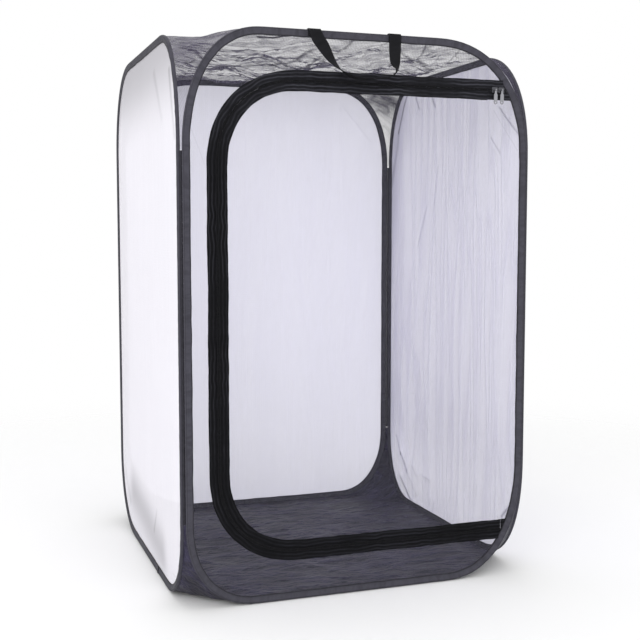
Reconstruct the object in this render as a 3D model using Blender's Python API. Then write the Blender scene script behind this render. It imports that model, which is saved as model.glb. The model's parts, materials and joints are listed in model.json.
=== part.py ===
"""Collapsible pop-up butterfly cage, in metres, with +Z up and its front towards -Y.

Four sprung steel hoops, each sewn into a folded fabric binding, carry four mesh walls. Neighbouring
hoops are sewn together at the corners, so the walls fold flat as a parallelogram. A mesh top and a
cloth floor fill the space between the hoops, with ears that follow the hoops' rounded corners. The
front wall has a D-shaped door on a zip with two sliders, and a webbing carry loop.
"""

import math

import bmesh
import bpy
from mathutils import Matrix, Vector

# Overall size
CAGE_WIDTH = 0.610
CAGE_DEPTH = 0.610
CAGE_HEIGHT = 0.914

# Sewn and running clearances
GAP = 0.0003
HOOP_FOOT_CLEARANCE = 0.0005

# Steel hoop: a flat strip on edge, whose ends meet in a crimped sleeve
STRIP_WIDTH = 0.0030
STRIP_THICKNESS = 0.0008
STRIP_END_GAP = 0.0010
SLEEVE_LENGTH = 0.0240
SLEEVE_WALL = 0.0003

# Hoop outline: rounding of each corner at the top and at the foot, as shares of one run and one drop
CORNER_RUN = 0.165
CORNER_DROP = 0.200
CORNER_POWER = 2.2
CORNER_STEPS = 7
CORNER_SHARES = {
    "front_left": (0.765, 0.945, 0.700, 0.675),
    "front_right": (1.000, 0.945, 0.845, 1.000),
    "back_right": (0.755, 0.855, 0.680, 0.745),
    "back_left": (1.000, 0.855, 0.955, 0.745),
}

# Binding: one tape folded over the hoop and over the edge of the mesh
BINDING_WIDTH = 0.0125
BINDING_TAPE = 0.0006
BINDING_MOUTH = 0.0011

# Mesh and cloth
MESH_THICKNESS = 0.0005
MESH_TUCK = 0.0060
CLOTH_THICKNESS = 0.0006

# Corner seams, on the fold's hinge lines
SEAM_RADIUS = 0.0012
SEAM_SIDES = 10
SEAM_END_GAP = 0.0020

# Top and floor
CLOTH_STEPS = 9
TOP_SAG = 0.016
TOP_FOLD_HEIGHT = 0.0075
FLOOR_LIFT_RUN = 0.030
FLOOR_FOLD_HEIGHT = 0.0030
# Folds: heading as a share of a turn, spacing as a share of the cage's width, height, phase in turns
TOP_FOLD_SHARES = (
    (0.035, 0.210, 0.50, 0.15),
    (0.310, 0.260, 0.32, 0.40),
    (0.915, 0.170, 0.30, 0.70),
)
FLOOR_FOLD_SHARES = (
    (0.060, 0.230, 0.55, 0.05),
    (0.400, 0.190, 0.45, 0.60),
)

# Zip: how far in from the front wall's edges its chain runs, and the section of its two halves
ZIP_SIDE_MARGIN = 0.062
ZIP_TOP_MARGIN = 0.080
ZIP_FOOT_MARGIN = 0.082
ZIP_CORNER_RUN = 0.135
ZIP_CORNER_DROP = 0.135
ZIP_TAPE_WIDTH = 0.0156
ZIP_TAPE_THICKNESS = 0.0006
ZIP_SLOT_HALF = 0.0009
COIL_SLOT_HALF = 0.0007
COIL_WIDTH = 0.0022
COIL_HEIGHT = 0.0015
COIL_SHOULDER = 0.0006
ZIP_MESH_MARGIN = 0.0060
ZIP_END_LENGTH = 0.0360

# Door
DOOR_HINGE_MARGIN = 0.047
DOOR_ZIP_SETBACK = 0.0080

# Zip sliders and pull tabs
SLIDER_LENGTH = 0.0110
SLIDER_WIDTH = 0.0092
SLIDER_TAIL_SHARE = 0.72
SLIDER_PLATE = 0.0008
SLIDER_FLANGE = 0.0008
SLIDER_POST_LENGTH = 0.0030
SLIDER_SPACING = 0.0120
SLIDER_END_MARGIN = 0.0115
BRIDGE_RISE = 0.0025
BRIDGE_WIDTH = 0.0014
BRIDGE_THICKNESS = 0.0012
BRIDGE_SPAN = 0.0078
PULL_RING_BORE = 0.0013
PULL_RING_WALL = 0.0008
PULL_RING_LENGTH = 0.0026
PULL_LENGTH = 0.0240
PULL_WIDTH = 0.0065
PULL_NECK = 0.0034
PULL_THICKNESS = 0.0010
PULL_HOLE = 0.0014

# Carry loop
WEBBING_WIDTH = 0.0250
WEBBING_THICKNESS = 0.0014
HANDLE_LEFT = -0.087
HANDLE_RIGHT = 0.053
HANDLE_DROP = 0.066
HANDLE_STAND_OFF = 0.0140
HANDLE_SMOOTHING = 4
ANCHOR_FRONT_LENGTH = 0.0110

# Rounding of small turned shapes
ROUND_SIDES = 16

# Colours, each with its roughness and metallic value
FINISHES = {
    "spring_steel": ((0.45, 0.46, 0.48), 0.35, 1.0),
    "binding_tape": ((0.108, 0.103, 0.127), 0.62, 0.0),
    "wall_mesh": ((0.76, 0.75, 0.90), 0.85, 0.0),
    "top_mesh": ((0.16, 0.155, 0.19), 0.85, 0.0),
    "floor_cloth": ((0.063, 0.058, 0.087), 0.70, 0.0),
    "zip_tape": ((0.022, 0.022, 0.026), 0.55, 0.0),
    "zip_coil": ((0.016, 0.016, 0.018), 0.35, 0.0),
    "slider_metal": ((0.55, 0.55, 0.57), 0.28, 1.0),
    "webbing": ((0.014, 0.014, 0.016), 0.75, 0.0),
}

# Worked out from the sizes above
STRIP_SLEEVE_WIDTH = STRIP_WIDTH + 2 * (GAP + SLEEVE_WALL)
STRIP_SLEEVE_THICKNESS = STRIP_THICKNESS + 2 * (GAP + SLEEVE_WALL)
BIGHT_HALF_WIDTH = STRIP_SLEEVE_WIDTH / 2 + GAP
BIGHT_HALF_THICKNESS = STRIP_SLEEVE_THICKNESS / 2 + GAP
BINDING_HALF = BIGHT_HALF_WIDTH + BINDING_TAPE
BINDING_NOSE = BIGHT_HALF_THICKNESS + BINDING_TAPE
BINDING_EDGE = BINDING_WIDTH - BINDING_NOSE
PIVOT_X = CAGE_WIDTH / 2 - 2 * BINDING_HALF
PIVOT_Y = CAGE_DEPTH / 2 - 2 * BINDING_HALF
HOOP_SETBACK = SEAM_RADIUS + GAP + BINDING_NOSE
HOOP_LOW = HOOP_FOOT_CLEARANCE + BINDING_NOSE
HOOP_HIGH = CAGE_HEIGHT - BINDING_NOSE
ZIP_SIDE = ZIP_SIDE_MARGIN - CAGE_WIDTH / 2
ZIP_TOP = CAGE_HEIGHT - ZIP_TOP_MARGIN
ZIP_END_LOW = ZIP_TOP - PULL_LENGTH - GAP
DOOR_HINGE_SIDE = CAGE_WIDTH / 2 - DOOR_HINGE_MARGIN
ZIP_END_START = DOOR_HINGE_SIDE - ZIP_END_LENGTH
MESH_HALF = MESH_THICKNESS / 2
TAPE_BACK = MESH_HALF + GAP
TAPE_FRONT = TAPE_BACK + ZIP_TAPE_THICKNESS
COIL_BACK = TAPE_FRONT + GAP
COIL_FRONT = COIL_BACK + COIL_HEIGHT
SLIDER_FRONT_LOW = COIL_FRONT + GAP
SLIDER_FRONT_HIGH = SLIDER_FRONT_LOW + SLIDER_PLATE
SLIDER_BACK_HIGH = TAPE_BACK - GAP
SLIDER_BACK_LOW = SLIDER_BACK_HIGH - SLIDER_PLATE
BRIDGE_AXIS = SLIDER_FRONT_HIGH + BRIDGE_RISE
DOOR_AXIS_OUT = BINDING_HALF + MESH_HALF + GAP / 2
HANDLE_AXIS_OUT = 2 * BINDING_HALF + 2 * GAP + 1.5 * WEBBING_THICKNESS
HANDLE_AXIS_UP = CAGE_HEIGHT - WEBBING_THICKNESS / 2

# Each wall's turn about +Z, the distance of its inner face from the middle, its half width between
# the hinge lines, and the corners at its two ends
WALLS = {
    "front": (0.0, PIVOT_Y, PIVOT_X, "front_left", "front_right"),
    "right": (math.pi / 2, PIVOT_X, PIVOT_Y, "front_right", "back_right"),
    "back": (math.pi, PIVOT_Y, PIVOT_X, "back_right", "back_left"),
    "left": (-math.pi / 2, PIVOT_X, PIVOT_Y, "back_left", "front_left"),
}
CORNERS = {
    "front_left": (-PIVOT_X, -PIVOT_Y),
    "front_right": (PIVOT_X, -PIVOT_Y),
    "back_right": (PIVOT_X, PIVOT_Y),
    "back_left": (-PIVOT_X, PIVOT_Y),
}


def clear_scene():
    for obj in list(bpy.data.objects):
        bpy.data.objects.remove(obj)


# Materials and placing


def finish(name):
    """The named material, made once."""
    material = bpy.data.materials.get(name)
    if material:
        return material
    colour, roughness, metallic = FINISHES[name]
    material = bpy.data.materials.new(name)
    material.use_nodes = True
    shader = material.node_tree.nodes["Principled BSDF"]
    shader.inputs["Base Color"].default_value = (*colour, 1)
    shader.inputs["Roughness"].default_value = roughness
    shader.inputs["Metallic"].default_value = metallic
    material.diffuse_color = (*colour, 1)
    return material


def add_object(name, mesh, finish_name):
    mesh.materials.clear()
    mesh.materials.append(finish(finish_name))
    obj = bpy.data.objects.new(name, mesh)
    bpy.context.collection.objects.link(obj)
    return obj


def object_from_bmesh(name, bm, finish_name, smooth_angle=math.radians(35)):
    """A named object whose faces point out, shaded smooth up to smooth_angle."""
    bmesh.ops.recalc_face_normals(bm, faces=bm.faces)
    if bm.calc_volume(signed=True) < 0:
        bmesh.ops.reverse_faces(bm, faces=bm.faces)
    mesh = bpy.data.meshes.new(name)
    bm.to_mesh(mesh)
    bm.free()
    mesh.shade_smooth()
    mesh.set_sharp_from_angle(angle=smooth_angle)
    return add_object(name, mesh, finish_name)


def add_pivot(name, point, parent=None):
    """An unturned empty at a world point, which a moving body hangs on."""
    pivot = bpy.data.objects.new(name, None)
    pivot.empty_display_size = CORNER_RUN
    bpy.context.collection.objects.link(pivot)
    return hang(pivot, point, parent)


def hang(obj, point, parent=None, turn=(0, 0, 0)):
    """Places obj at a world point, under a parent that is itself unturned."""
    obj["place"] = list(point)
    obj.rotation_euler = turn
    obj.location = Vector(point)
    if parent:
        obj.parent = parent
        obj.location = Vector(point) - Vector(parent["place"])
    return obj


def wall_point(wall, across, up, out):
    """World point of a wall's own coordinates: across it, up it, and out from its inner face."""
    yaw, setback = WALLS[wall][:2]
    return Matrix.Rotation(yaw, 3, "Z") @ Vector((across, -setback - out, up))


def hang_on_wall(obj, wall, parent=None, out=BINDING_HALF):
    """Stands an object drawn flat in X and Y up in the wall's plane, its +Z pointing out."""
    return hang(obj, wall_point(wall, 0, 0, out), parent, (math.pi / 2, 0, WALLS[wall][0]))


# Shapes that more than one piece uses


def corner_unit(step, steps):
    """(across, up) from (1, 0) to (0, 1) along the rounded corner of a sprung hoop."""
    angle = math.pi / 2 * step / steps
    power = 2 / CORNER_POWER
    return max(math.cos(angle), 0) ** power, max(math.sin(angle), 0) ** power


def corner_fall(share):
    """How far the hoop has dropped, as a share of its drop, at a share of the way into its corner."""
    inside = 1 - min(max(share, 0), 1) ** CORNER_POWER
    return 1 - inside ** (1 / CORNER_POWER)


def corner_sizes(corner):
    """(top run, top drop, foot run, foot rise) of a corner."""
    lengths = (CORNER_RUN, CORNER_DROP, CORNER_RUN, CORNER_DROP)
    return [length * share for length, share in zip(lengths, CORNER_SHARES[corner])]


def rounded_corner(centre_x, centre_y, run, drop, quarter, steps):
    """Points of one rounded corner, anticlockwise. Quarter 0 is the corner at +X and +Y."""
    points = []
    for step in range(steps + 1):
        along = step if quarter % 2 == 0 else steps - step
        across, up = corner_unit(along, steps)
        sign_x = 1 if quarter in (0, 3) else -1
        sign_y = 1 if quarter in (0, 1) else -1
        points.append((centre_x + sign_x * run * across, centre_y + sign_y * drop * up))
    return points


def hoop_outline(wall):
    """The middle line of the wall's steel hoop, anticlockwise from the foot at the plus end."""
    half_width, minus_corner, plus_corner = WALLS[wall][2:]
    half = half_width - HOOP_SETBACK
    run, drop, foot_run, foot_rise = corner_sizes(plus_corner)
    points = rounded_corner(half - foot_run, HOOP_LOW + foot_rise, foot_run, foot_rise, 3, CORNER_STEPS)
    points += rounded_corner(half - run, HOOP_HIGH - drop, run, drop, 0, CORNER_STEPS)
    run, drop, foot_run, foot_rise = corner_sizes(minus_corner)
    points += rounded_corner(run - half, HOOP_HIGH - drop, run, drop, 1, CORNER_STEPS)
    points += rounded_corner(foot_run - half, HOOP_LOW + foot_rise, foot_run, foot_rise, 2, CORNER_STEPS)
    return points


def side_vectors(points, closed):
    """At each point of a flat path, the vector to its right that keeps offset lines parallel."""
    count = len(points)
    vectors = []
    for index, point in enumerate(points):
        before = points[index - 1] if closed or index else point
        after = points[(index + 1) % count] if closed or index < count - 1 else point
        turns = []
        for start, end in ((before, point), (point, after)):
            step = Vector(end) - Vector(start)
            if step.length > 0:
                turns.append(Vector((step.y, -step.x)).normalized())
        side = (turns[0] + turns[-1]).normalized()
        vectors.append(side / side.dot(turns[0]))
    return vectors


def offset_path(points, distance, closed):
    """The path moved to its right by distance. Right is outwards on an anticlockwise outline."""
    return [
        tuple(Vector(point) + side * distance)
        for point, side in zip(points, side_vectors(points, closed))
    ]


def loft(name, rings, closed, finish_name):
    """A closed body through rings of points: a loop of rings, or an open run with two end faces."""
    bm = bmesh.new()
    rows = [[bm.verts.new(point) for point in ring] for ring in rings]
    pairs = list(zip(rows, rows[1:]))
    if closed:
        pairs.append((rows[-1], rows[0]))
    for first, second in pairs:
        for index in range(len(first)):
            after = (index + 1) % len(first)
            bm.faces.new((first[index], first[after], second[after], second[index]))
    if not closed:
        bm.faces.new(rows[0])
        bm.faces.new(reversed(rows[-1]))
    return object_from_bmesh(name, bm, finish_name)


def sweep(name, path, profile, closed, finish_name):
    """Carries a profile of (side, out) points along a flat path."""
    rings = []
    for point, side in zip(path, side_vectors(path, closed)):
        rings.append([(point[0] + side.x * p, point[1] + side.y * p, q) for p, q in profile])
    return loft(name, rings, closed, finish_name)


def prism(name, outline, low, high, finish_name):
    """A flat outline in X and Y, extruded from low to high."""
    bm = bmesh.new()
    face = bm.faces.new([bm.verts.new((x, y, low)) for x, y in outline])
    raised = bmesh.ops.extrude_face_region(bm, geom=[face], use_keep_orig=True)
    lifted = [item for item in raised["geom"] if isinstance(item, bmesh.types.BMVert)]
    bmesh.ops.translate(bm, verts=lifted, vec=(0, 0, high - low))
    return object_from_bmesh(name, bm, finish_name)


def round_bar(name, radius, length, sides, finish_name):
    """A round bar about Z, from zero up to its length."""
    bm = bmesh.new()
    bmesh.ops.create_cone(
        bm, cap_ends=True, segments=sides, radius1=radius, radius2=radius, depth=length
    )
    bmesh.ops.translate(bm, verts=bm.verts, vec=(0, 0, length / 2))
    return object_from_bmesh(name, bm, finish_name)


def block(name, size, centre, finish_name):
    """A rectangular block."""
    bm = bmesh.new()
    bmesh.ops.create_cube(bm, size=1)
    bmesh.ops.scale(bm, verts=bm.verts, vec=size)
    bmesh.ops.translate(bm, verts=bm.verts, vec=centre)
    return object_from_bmesh(name, bm, finish_name)


def sheet(name, loops, thickness, finish_name):
    """A flat sheet in X and Y, filled between its outline and any holes, thick both ways."""
    bm = bmesh.new()
    for loop in loops:
        corners = [bm.verts.new((x, y, 0)) for x, y in loop]
        for start, end in zip(corners, corners[1:] + corners[:1]):
            bm.edges.new((start, end))
    bmesh.ops.triangle_fill(bm, use_beauty=True, edges=bm.edges, normal=(0, 0, 1))
    faces = list(bm.faces)
    bmesh.ops.translate(bm, verts=bm.verts, vec=(0, 0, -thickness / 2))
    raised = bmesh.ops.extrude_face_region(bm, geom=faces, use_keep_orig=True)
    lifted = [item for item in raised["geom"] if isinstance(item, bmesh.types.BMVert)]
    bmesh.ops.translate(bm, verts=lifted, vec=(0, 0, thickness))
    return object_from_bmesh(name, bm, finish_name)


def combine(obj, others, operation):
    """Joins, cuts or trims obj with helpers, applies the result, and removes the helpers."""
    for other in others:
        modifier = obj.modifiers.new(operation.lower(), "BOOLEAN")
        modifier.object = other
        modifier.operation = operation
        modifier.solver = "EXACT"
    bpy.context.view_layer.update()
    evaluated = obj.evaluated_get(bpy.context.evaluated_depsgraph_get())
    mesh = bpy.data.meshes.new_from_object(evaluated)
    mesh.name = obj.data.name + "_joined"
    obj.modifiers.clear()
    obj.data = mesh
    for other in others:
        bpy.data.objects.remove(other)
    return obj


# Hoops, bindings and walls


def strip_section():
    half = STRIP_WIDTH / 2
    thin = STRIP_THICKNESS / 2
    return [(-thin, -half), (thin, -half), (thin, half), (-thin, half)]


def binding_section():
    """The folded tape: round the hoop at its nose, and open along its inner edge."""
    flat = BINDING_TAPE
    mouth = BINDING_MOUTH / 2
    nose = [(BINDING_NOSE, BINDING_HALF - flat), (BINDING_NOSE - flat, BINDING_HALF)]
    cheek = [(-BINDING_NOSE, BINDING_HALF), (-BINDING_EDGE, mouth + flat)]
    lining = [(-BINDING_EDGE, mouth), (-BIGHT_HALF_THICKNESS, BIGHT_HALF_WIDTH)]
    bight = [(BIGHT_HALF_THICKNESS, BIGHT_HALF_WIDTH)]
    half = nose + cheek + lining + bight
    return half + [(side, -out) for side, out in reversed(half)]


def make_hoop(wall, parent):
    """The steel strip: open at the middle of the foot, where its ends meet."""
    outline = hoop_outline(wall)
    path = [(STRIP_END_GAP / 2, HOOP_LOW)] + outline + [(-STRIP_END_GAP / 2, HOOP_LOW)]
    hoop = sweep(f"{wall}_hoop", path, strip_section(), False, "spring_steel")
    return hang_on_wall(hoop, wall, parent)


def make_sleeve(wall, parent):
    """The crimped sleeve over the two ends of the strip."""
    outer = (SLEEVE_LENGTH, STRIP_SLEEVE_THICKNESS, STRIP_SLEEVE_WIDTH)
    bore = (
        SLEEVE_LENGTH + 2 * SLEEVE_WALL,
        outer[1] - 2 * SLEEVE_WALL,
        outer[2] - 2 * SLEEVE_WALL,
    )
    sleeve = block(f"{wall}_hoop_sleeve", outer, (0, HOOP_LOW, 0), "spring_steel")
    combine(sleeve, [block("sleeve_bore", bore, (0, HOOP_LOW, 0), "spring_steel")], "DIFFERENCE")
    return hang_on_wall(sleeve, wall, parent)


def make_binding(wall, parent):
    binding = sweep(f"{wall}_binding", hoop_outline(wall), binding_section(), True, "binding_tape")
    return hang_on_wall(binding, wall, parent)


def mesh_edge(wall):
    """The outline of the wall's mesh, whose edge is tucked into the binding."""
    return offset_path(hoop_outline(wall), -(BINDING_EDGE - MESH_TUCK), True)


def make_wall_mesh(wall, parent):
    mesh = sheet(f"{wall}_mesh", [mesh_edge(wall)], MESH_THICKNESS, "wall_mesh")
    return hang_on_wall(mesh, wall, parent)


def make_corner_seam(corner, parent):
    """The sewn edge between two neighbouring bindings, on the fold's hinge line."""
    drop, foot_rise = corner_sizes(corner)[1::2]
    low = HOOP_LOW + foot_rise + SEAM_END_GAP
    high = HOOP_HIGH - drop - SEAM_END_GAP
    seam = round_bar(f"{corner}_seam", SEAM_RADIUS, high - low, SEAM_SIDES, "binding_tape")
    return hang(seam, (*CORNERS[corner], low), parent)


# Top and floor


def side_places(first_run, second_run, edge):
    """Places along one side of the cloth, from -edge to +edge, closest together in its corners."""
    first = [-edge + first_run * (1 - corner_unit(k, CORNER_STEPS)[0]) for k in range(CORNER_STEPS + 1)]
    second = [edge - second_run * (1 - corner_unit(k, CORNER_STEPS)[0]) for k in range(CORNER_STEPS + 1)]
    start = first[-1]
    span = second[-1] - start
    middle = [start + span * k / CLOTH_STEPS for k in range(1, CLOTH_STEPS)]
    return first + middle + second[::-1]


def crossing(a, b, c, d):
    """Where the line from a to b meets the line from c to d, in plan."""
    first = Vector(b) - Vector(a)
    second = Vector(d) - Vector(c)
    between = Vector(c) - Vector(a)
    along = between.cross(second) / first.cross(second)
    return Vector(a) + first * along


def cloth_plan(runs, edge_x, edge_y):
    """A grid of plan points whose lines join the opposite sides' places."""
    front = side_places(runs["front_left"], runs["front_right"], edge_x)
    back = side_places(runs["back_left"], runs["back_right"], edge_x)
    left = side_places(runs["front_left"], runs["back_left"], edge_y)
    right = side_places(runs["front_right"], runs["back_right"], edge_y)
    rows = []
    for low, high in zip(left, right):
        ends = ((-edge_x, low), (edge_x, high))
        rows.append([crossing((a, -edge_y), (b, edge_y), *ends) for a, b in zip(front, back)])
    return rows


def ear_depth(point, runs, drops, edge_x, edge_y):
    """How far the cloth's ears reach from its flat middle, at a plan point."""
    depth = 0
    for corner, (pivot_x, pivot_y) in CORNERS.items():
        across = 1 - (edge_x - math.copysign(point.x, point.x * pivot_x)) / runs[corner]
        along = 1 - (edge_y - math.copysign(point.y, point.y * pivot_y)) / runs[corner]
        depth += drops[corner] * corner_fall(across + along - 1)
    return depth


def fold_wave(point, fold_shares):
    """The height of the cloth's main folds, from -1 to 1, at a plan point."""
    height = 0
    for heading, spacing, share, phase in fold_shares:
        turn = 2 * math.pi * heading
        across = (point.x * math.cos(turn) + point.y * math.sin(turn)) / (spacing * CAGE_WIDTH)
        height += share * math.sin(2 * math.pi * (across + phase))
    return height


def middle_share(point, edge_x, edge_y):
    """1 in the middle of the cloth, falling to 0 at its edges."""
    return (1 - (point.x / edge_x) ** 2) * (1 - (point.y / edge_y) ** 2)


def add_cloth_cell(bm, a, b, c, d):
    """Two triangles, parted along the line that runs level across the nearest corner's ear."""
    if (a.co.x + c.co.x) * (a.co.y + c.co.y) > 0:
        a, b, c, d = b, c, d, a
    bm.faces.new((a, b, c))
    bm.faces.new((a, c, d))


def cloth_body(name, rows, heights, fullness, finish_name):
    """A cloth on a plan grid: its near face at the heights, thickened along its normals."""
    bm = bmesh.new()
    grid = []
    for row, row_heights in zip(rows, heights):
        grid.append([bm.verts.new((point.x, point.y, z)) for point, z in zip(row, row_heights)])
    for low, high in zip(grid, grid[1:]):
        for k in range(len(low) - 1):
            add_cloth_cell(bm, low[k], low[k + 1], high[k + 1], high[k])
    bm.normal_update()
    flat = [vert for row in grid for vert in row]
    moves = [vert.normal * full for vert, full in zip(flat, [f for row in fullness for f in row])]
    raised = bmesh.ops.extrude_face_region(bm, geom=list(bm.faces), use_keep_orig=True)
    lifted = {item for item in raised["geom"] if isinstance(item, bmesh.types.BMVert)}
    nearest = {tuple(vert.co): move for vert, move in zip(flat, moves)}
    for vert in lifted:
        vert.co += nearest[tuple(vert.co)]
    return object_from_bmesh(name, bm, finish_name)


def make_top():
    """The mesh top: it sags, has loose folds, and its ears follow the hoops' top corners."""
    edge_x = PIVOT_X - GAP
    edge_y = PIVOT_Y - GAP
    extra = HOOP_SETBACK - GAP
    runs = {corner: corner_sizes(corner)[0] + extra for corner in CORNERS}
    drops = {corner: corner_sizes(corner)[1] for corner in CORNERS}
    rows = cloth_plan(runs, edge_x, edge_y)
    heights = []
    for row in rows:
        line = []
        for point in row:
            middle = middle_share(point, edge_x, edge_y)
            fold = TOP_FOLD_HEIGHT * math.sqrt(max(middle, 0)) * fold_wave(point, TOP_FOLD_SHARES)
            fall = ear_depth(point, runs, drops, edge_x, edge_y)
            line.append(HOOP_HIGH - fall - TOP_SAG * middle + fold)
        heights.append(line)
    fullness = [[-MESH_THICKNESS for _ in row] for row in rows]
    return cloth_body("top_mesh", rows, heights, fullness, "top_mesh")


def make_floor():
    """The cloth floor: flat underneath, with ears that follow the hoops' foot corners."""
    edge_x = PIVOT_X - GAP
    edge_y = PIVOT_Y - GAP
    extra = HOOP_SETBACK - GAP
    runs = {corner: corner_sizes(corner)[2] + extra for corner in CORNERS}
    rises = {corner: corner_sizes(corner)[3] for corner in CORNERS}
    rows = cloth_plan(runs, edge_x, edge_y)
    heights = []
    fullness = []
    for row in rows:
        line = []
        thick = []
        for point in row:
            inset = min(edge_x - abs(point.x), edge_y - abs(point.y))
            lift = max(1 - inset / FLOOR_LIFT_RUN, 0) ** 2
            rise = ear_depth(point, runs, rises, edge_x, edge_y)
            line.append(HOOP_LOW * lift + rise)
            ridge = max(fold_wave(point, FLOOR_FOLD_SHARES), 0) if rise == 0 else 0
            ridge *= max(middle_share(point, edge_x, edge_y), 0) ** 0.5
            thick.append(CLOTH_THICKNESS + FLOOR_FOLD_HEIGHT * ridge)
        heights.append(line)
        fullness.append(thick)
    return cloth_body("floor_cloth", rows, heights, fullness, "floor_cloth")


# Front wall: mesh, zip and door


def chain_path(start_x, end_x):
    """The zip's chain: from start_x on the foot run, clockwise up the left side, to end_x on top."""
    left = ZIP_SIDE + ZIP_CORNER_RUN
    foot = rounded_corner(
        left, ZIP_FOOT_MARGIN + ZIP_CORNER_DROP, ZIP_CORNER_RUN, ZIP_CORNER_DROP, 2, CORNER_STEPS
    )
    top = rounded_corner(
        left, ZIP_TOP - ZIP_CORNER_DROP, ZIP_CORNER_RUN, ZIP_CORNER_DROP, 1, CORNER_STEPS
    )
    return [(start_x, ZIP_FOOT_MARGIN)] + foot[::-1] + top[::-1] + [(end_x, ZIP_TOP)]


def inside_binding(margin):
    """The outline of the front wall inside its binding, drawn in by margin."""
    return offset_path(hoop_outline("front"), -(BINDING_EDGE + margin), True)


def make_front_mesh(parent):
    """The front mesh, open where the door is. At the zip's closed end it has a slot for the sliders,
    and reaches below the pull tabs, which the opening door would otherwise hit."""
    margin = ZIP_MESH_MARGIN
    hinge = DOOR_HINGE_SIDE + GAP
    chain = chain_path(hinge, ZIP_END_START)
    hole = offset_path(chain, -margin, False)
    hole[0] = (hinge, hole[0][1])
    slot_end = DOOR_HINGE_SIDE
    hole[-1] = (slot_end, ZIP_TOP + margin)
    hole += [
        (slot_end, ZIP_TOP - margin),
        (ZIP_END_START, ZIP_TOP - margin),
        (ZIP_END_START, ZIP_END_LOW),
        (hinge, ZIP_END_LOW),
    ]
    mesh = sheet("front_mesh", [mesh_edge("front"), hole], MESH_THICKNESS, "wall_mesh")
    return hang_on_wall(mesh, "front", parent)


def make_door_mesh(parent):
    margin = ZIP_MESH_MARGIN
    hinge = DOOR_HINGE_SIDE - GAP
    end = ZIP_END_START - GAP
    outline = offset_path(chain_path(hinge, end), margin, False)
    outline[0] = (hinge, outline[0][1])
    outline[-1] = (end, ZIP_TOP - margin)
    low = ZIP_END_LOW - GAP
    outline += [(end, low), (hinge, low)]
    mesh = sheet("door_mesh", [outline], MESH_THICKNESS, "wall_mesh")
    return hang_on_wall(mesh, "front", parent)


def tape_section(side):
    """Half of the zip's tape. Side is -1 on the frame's half and 1 on the door's half."""
    near = side * ZIP_SLOT_HALF
    far = side * (ZIP_SLOT_HALF + ZIP_TAPE_WIDTH)
    return [(near, TAPE_BACK), (far, TAPE_BACK), (far, TAPE_FRONT), (near, TAPE_FRONT)]


def coil_section(side):
    near = side * COIL_SLOT_HALF
    far = side * (COIL_SLOT_HALF + COIL_WIDTH)
    shoulder = side * COIL_SHOULDER
    return [
        (near, COIL_BACK),
        (far, COIL_BACK),
        (far, COIL_FRONT - COIL_SHOULDER),
        (far - shoulder, COIL_FRONT),
        (near + shoulder, COIL_FRONT),
        (near, COIL_FRONT - COIL_SHOULDER),
    ]


def trim_to_front(obj):
    """Cuts a zip piece off where the front binding's inner edge crosses it."""
    guide = prism("inside_binding", inside_binding(GAP), -BINDING_HALF, BINDING_HALF, "zip_tape")
    return combine(obj, [guide], "INTERSECT")


def make_zip_half(prefix, side, path, parent, trimmed):
    """One half of the zip on the front wall: its tape and its coil."""
    for kind, section in (("tape", tape_section(side)), ("coil", coil_section(side))):
        piece = sweep(f"{prefix}_zip_{kind}", path, section, False, f"zip_{kind}")
        if trimmed:
            trim_to_front(piece)
        hang_on_wall(piece, "front", parent)


def make_front_zip(parent):
    overrun = DOOR_HINGE_SIDE + CORNER_RUN / 2
    make_zip_half("frame", -1, chain_path(overrun, overrun), parent, True)
    closed_end = [(ZIP_END_START + GAP, ZIP_TOP), (overrun, ZIP_TOP)]
    make_zip_half("closed_end", 1, closed_end, parent, True)


def make_door_zip(parent):
    path = chain_path(DOOR_HINGE_SIDE - DOOR_ZIP_SETBACK, ZIP_END_START - GAP)
    make_zip_half("door", 1, path, parent, False)


# Sliders and pull tabs


def slider_outline():
    """The slider's plan: wide where the zip's halves part, narrower at its tail."""
    half = SLIDER_LENGTH / 2
    wide = SLIDER_WIDTH / 2
    tail = wide * SLIDER_TAIL_SHARE
    shoulder = half * SLIDER_TAIL_SHARE
    upper = [(half, tail), (shoulder, wide), (-shoulder, wide), (-half, tail)]
    return upper + [(x, -y) for x, y in reversed(upper)]


def bridge_rings():
    """Sections of the arch that the pull tab hangs on, from one foot to the other."""
    half_span = BRIDGE_SPAN / 2
    half_thick = BRIDGE_THICKNESS / 2
    bend = BRIDGE_THICKNESS
    root = SLIDER_FRONT_HIGH - SLIDER_PLATE / 2
    path = [(half_span, root), (half_span, BRIDGE_AXIS - bend), (half_span - bend, BRIDGE_AXIS)]
    path += [(-x, z) for x, z in reversed(path)]
    rings = []
    for (x, z), side in zip(path, side_vectors(path, False)):
        corners = ((half_thick, 1), (-half_thick, 1), (-half_thick, -1), (half_thick, -1))
        rings.append([(x + side.x * t, w * BRIDGE_WIDTH / 2, z + side.y * t) for t, w in corners])
    return rings


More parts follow.
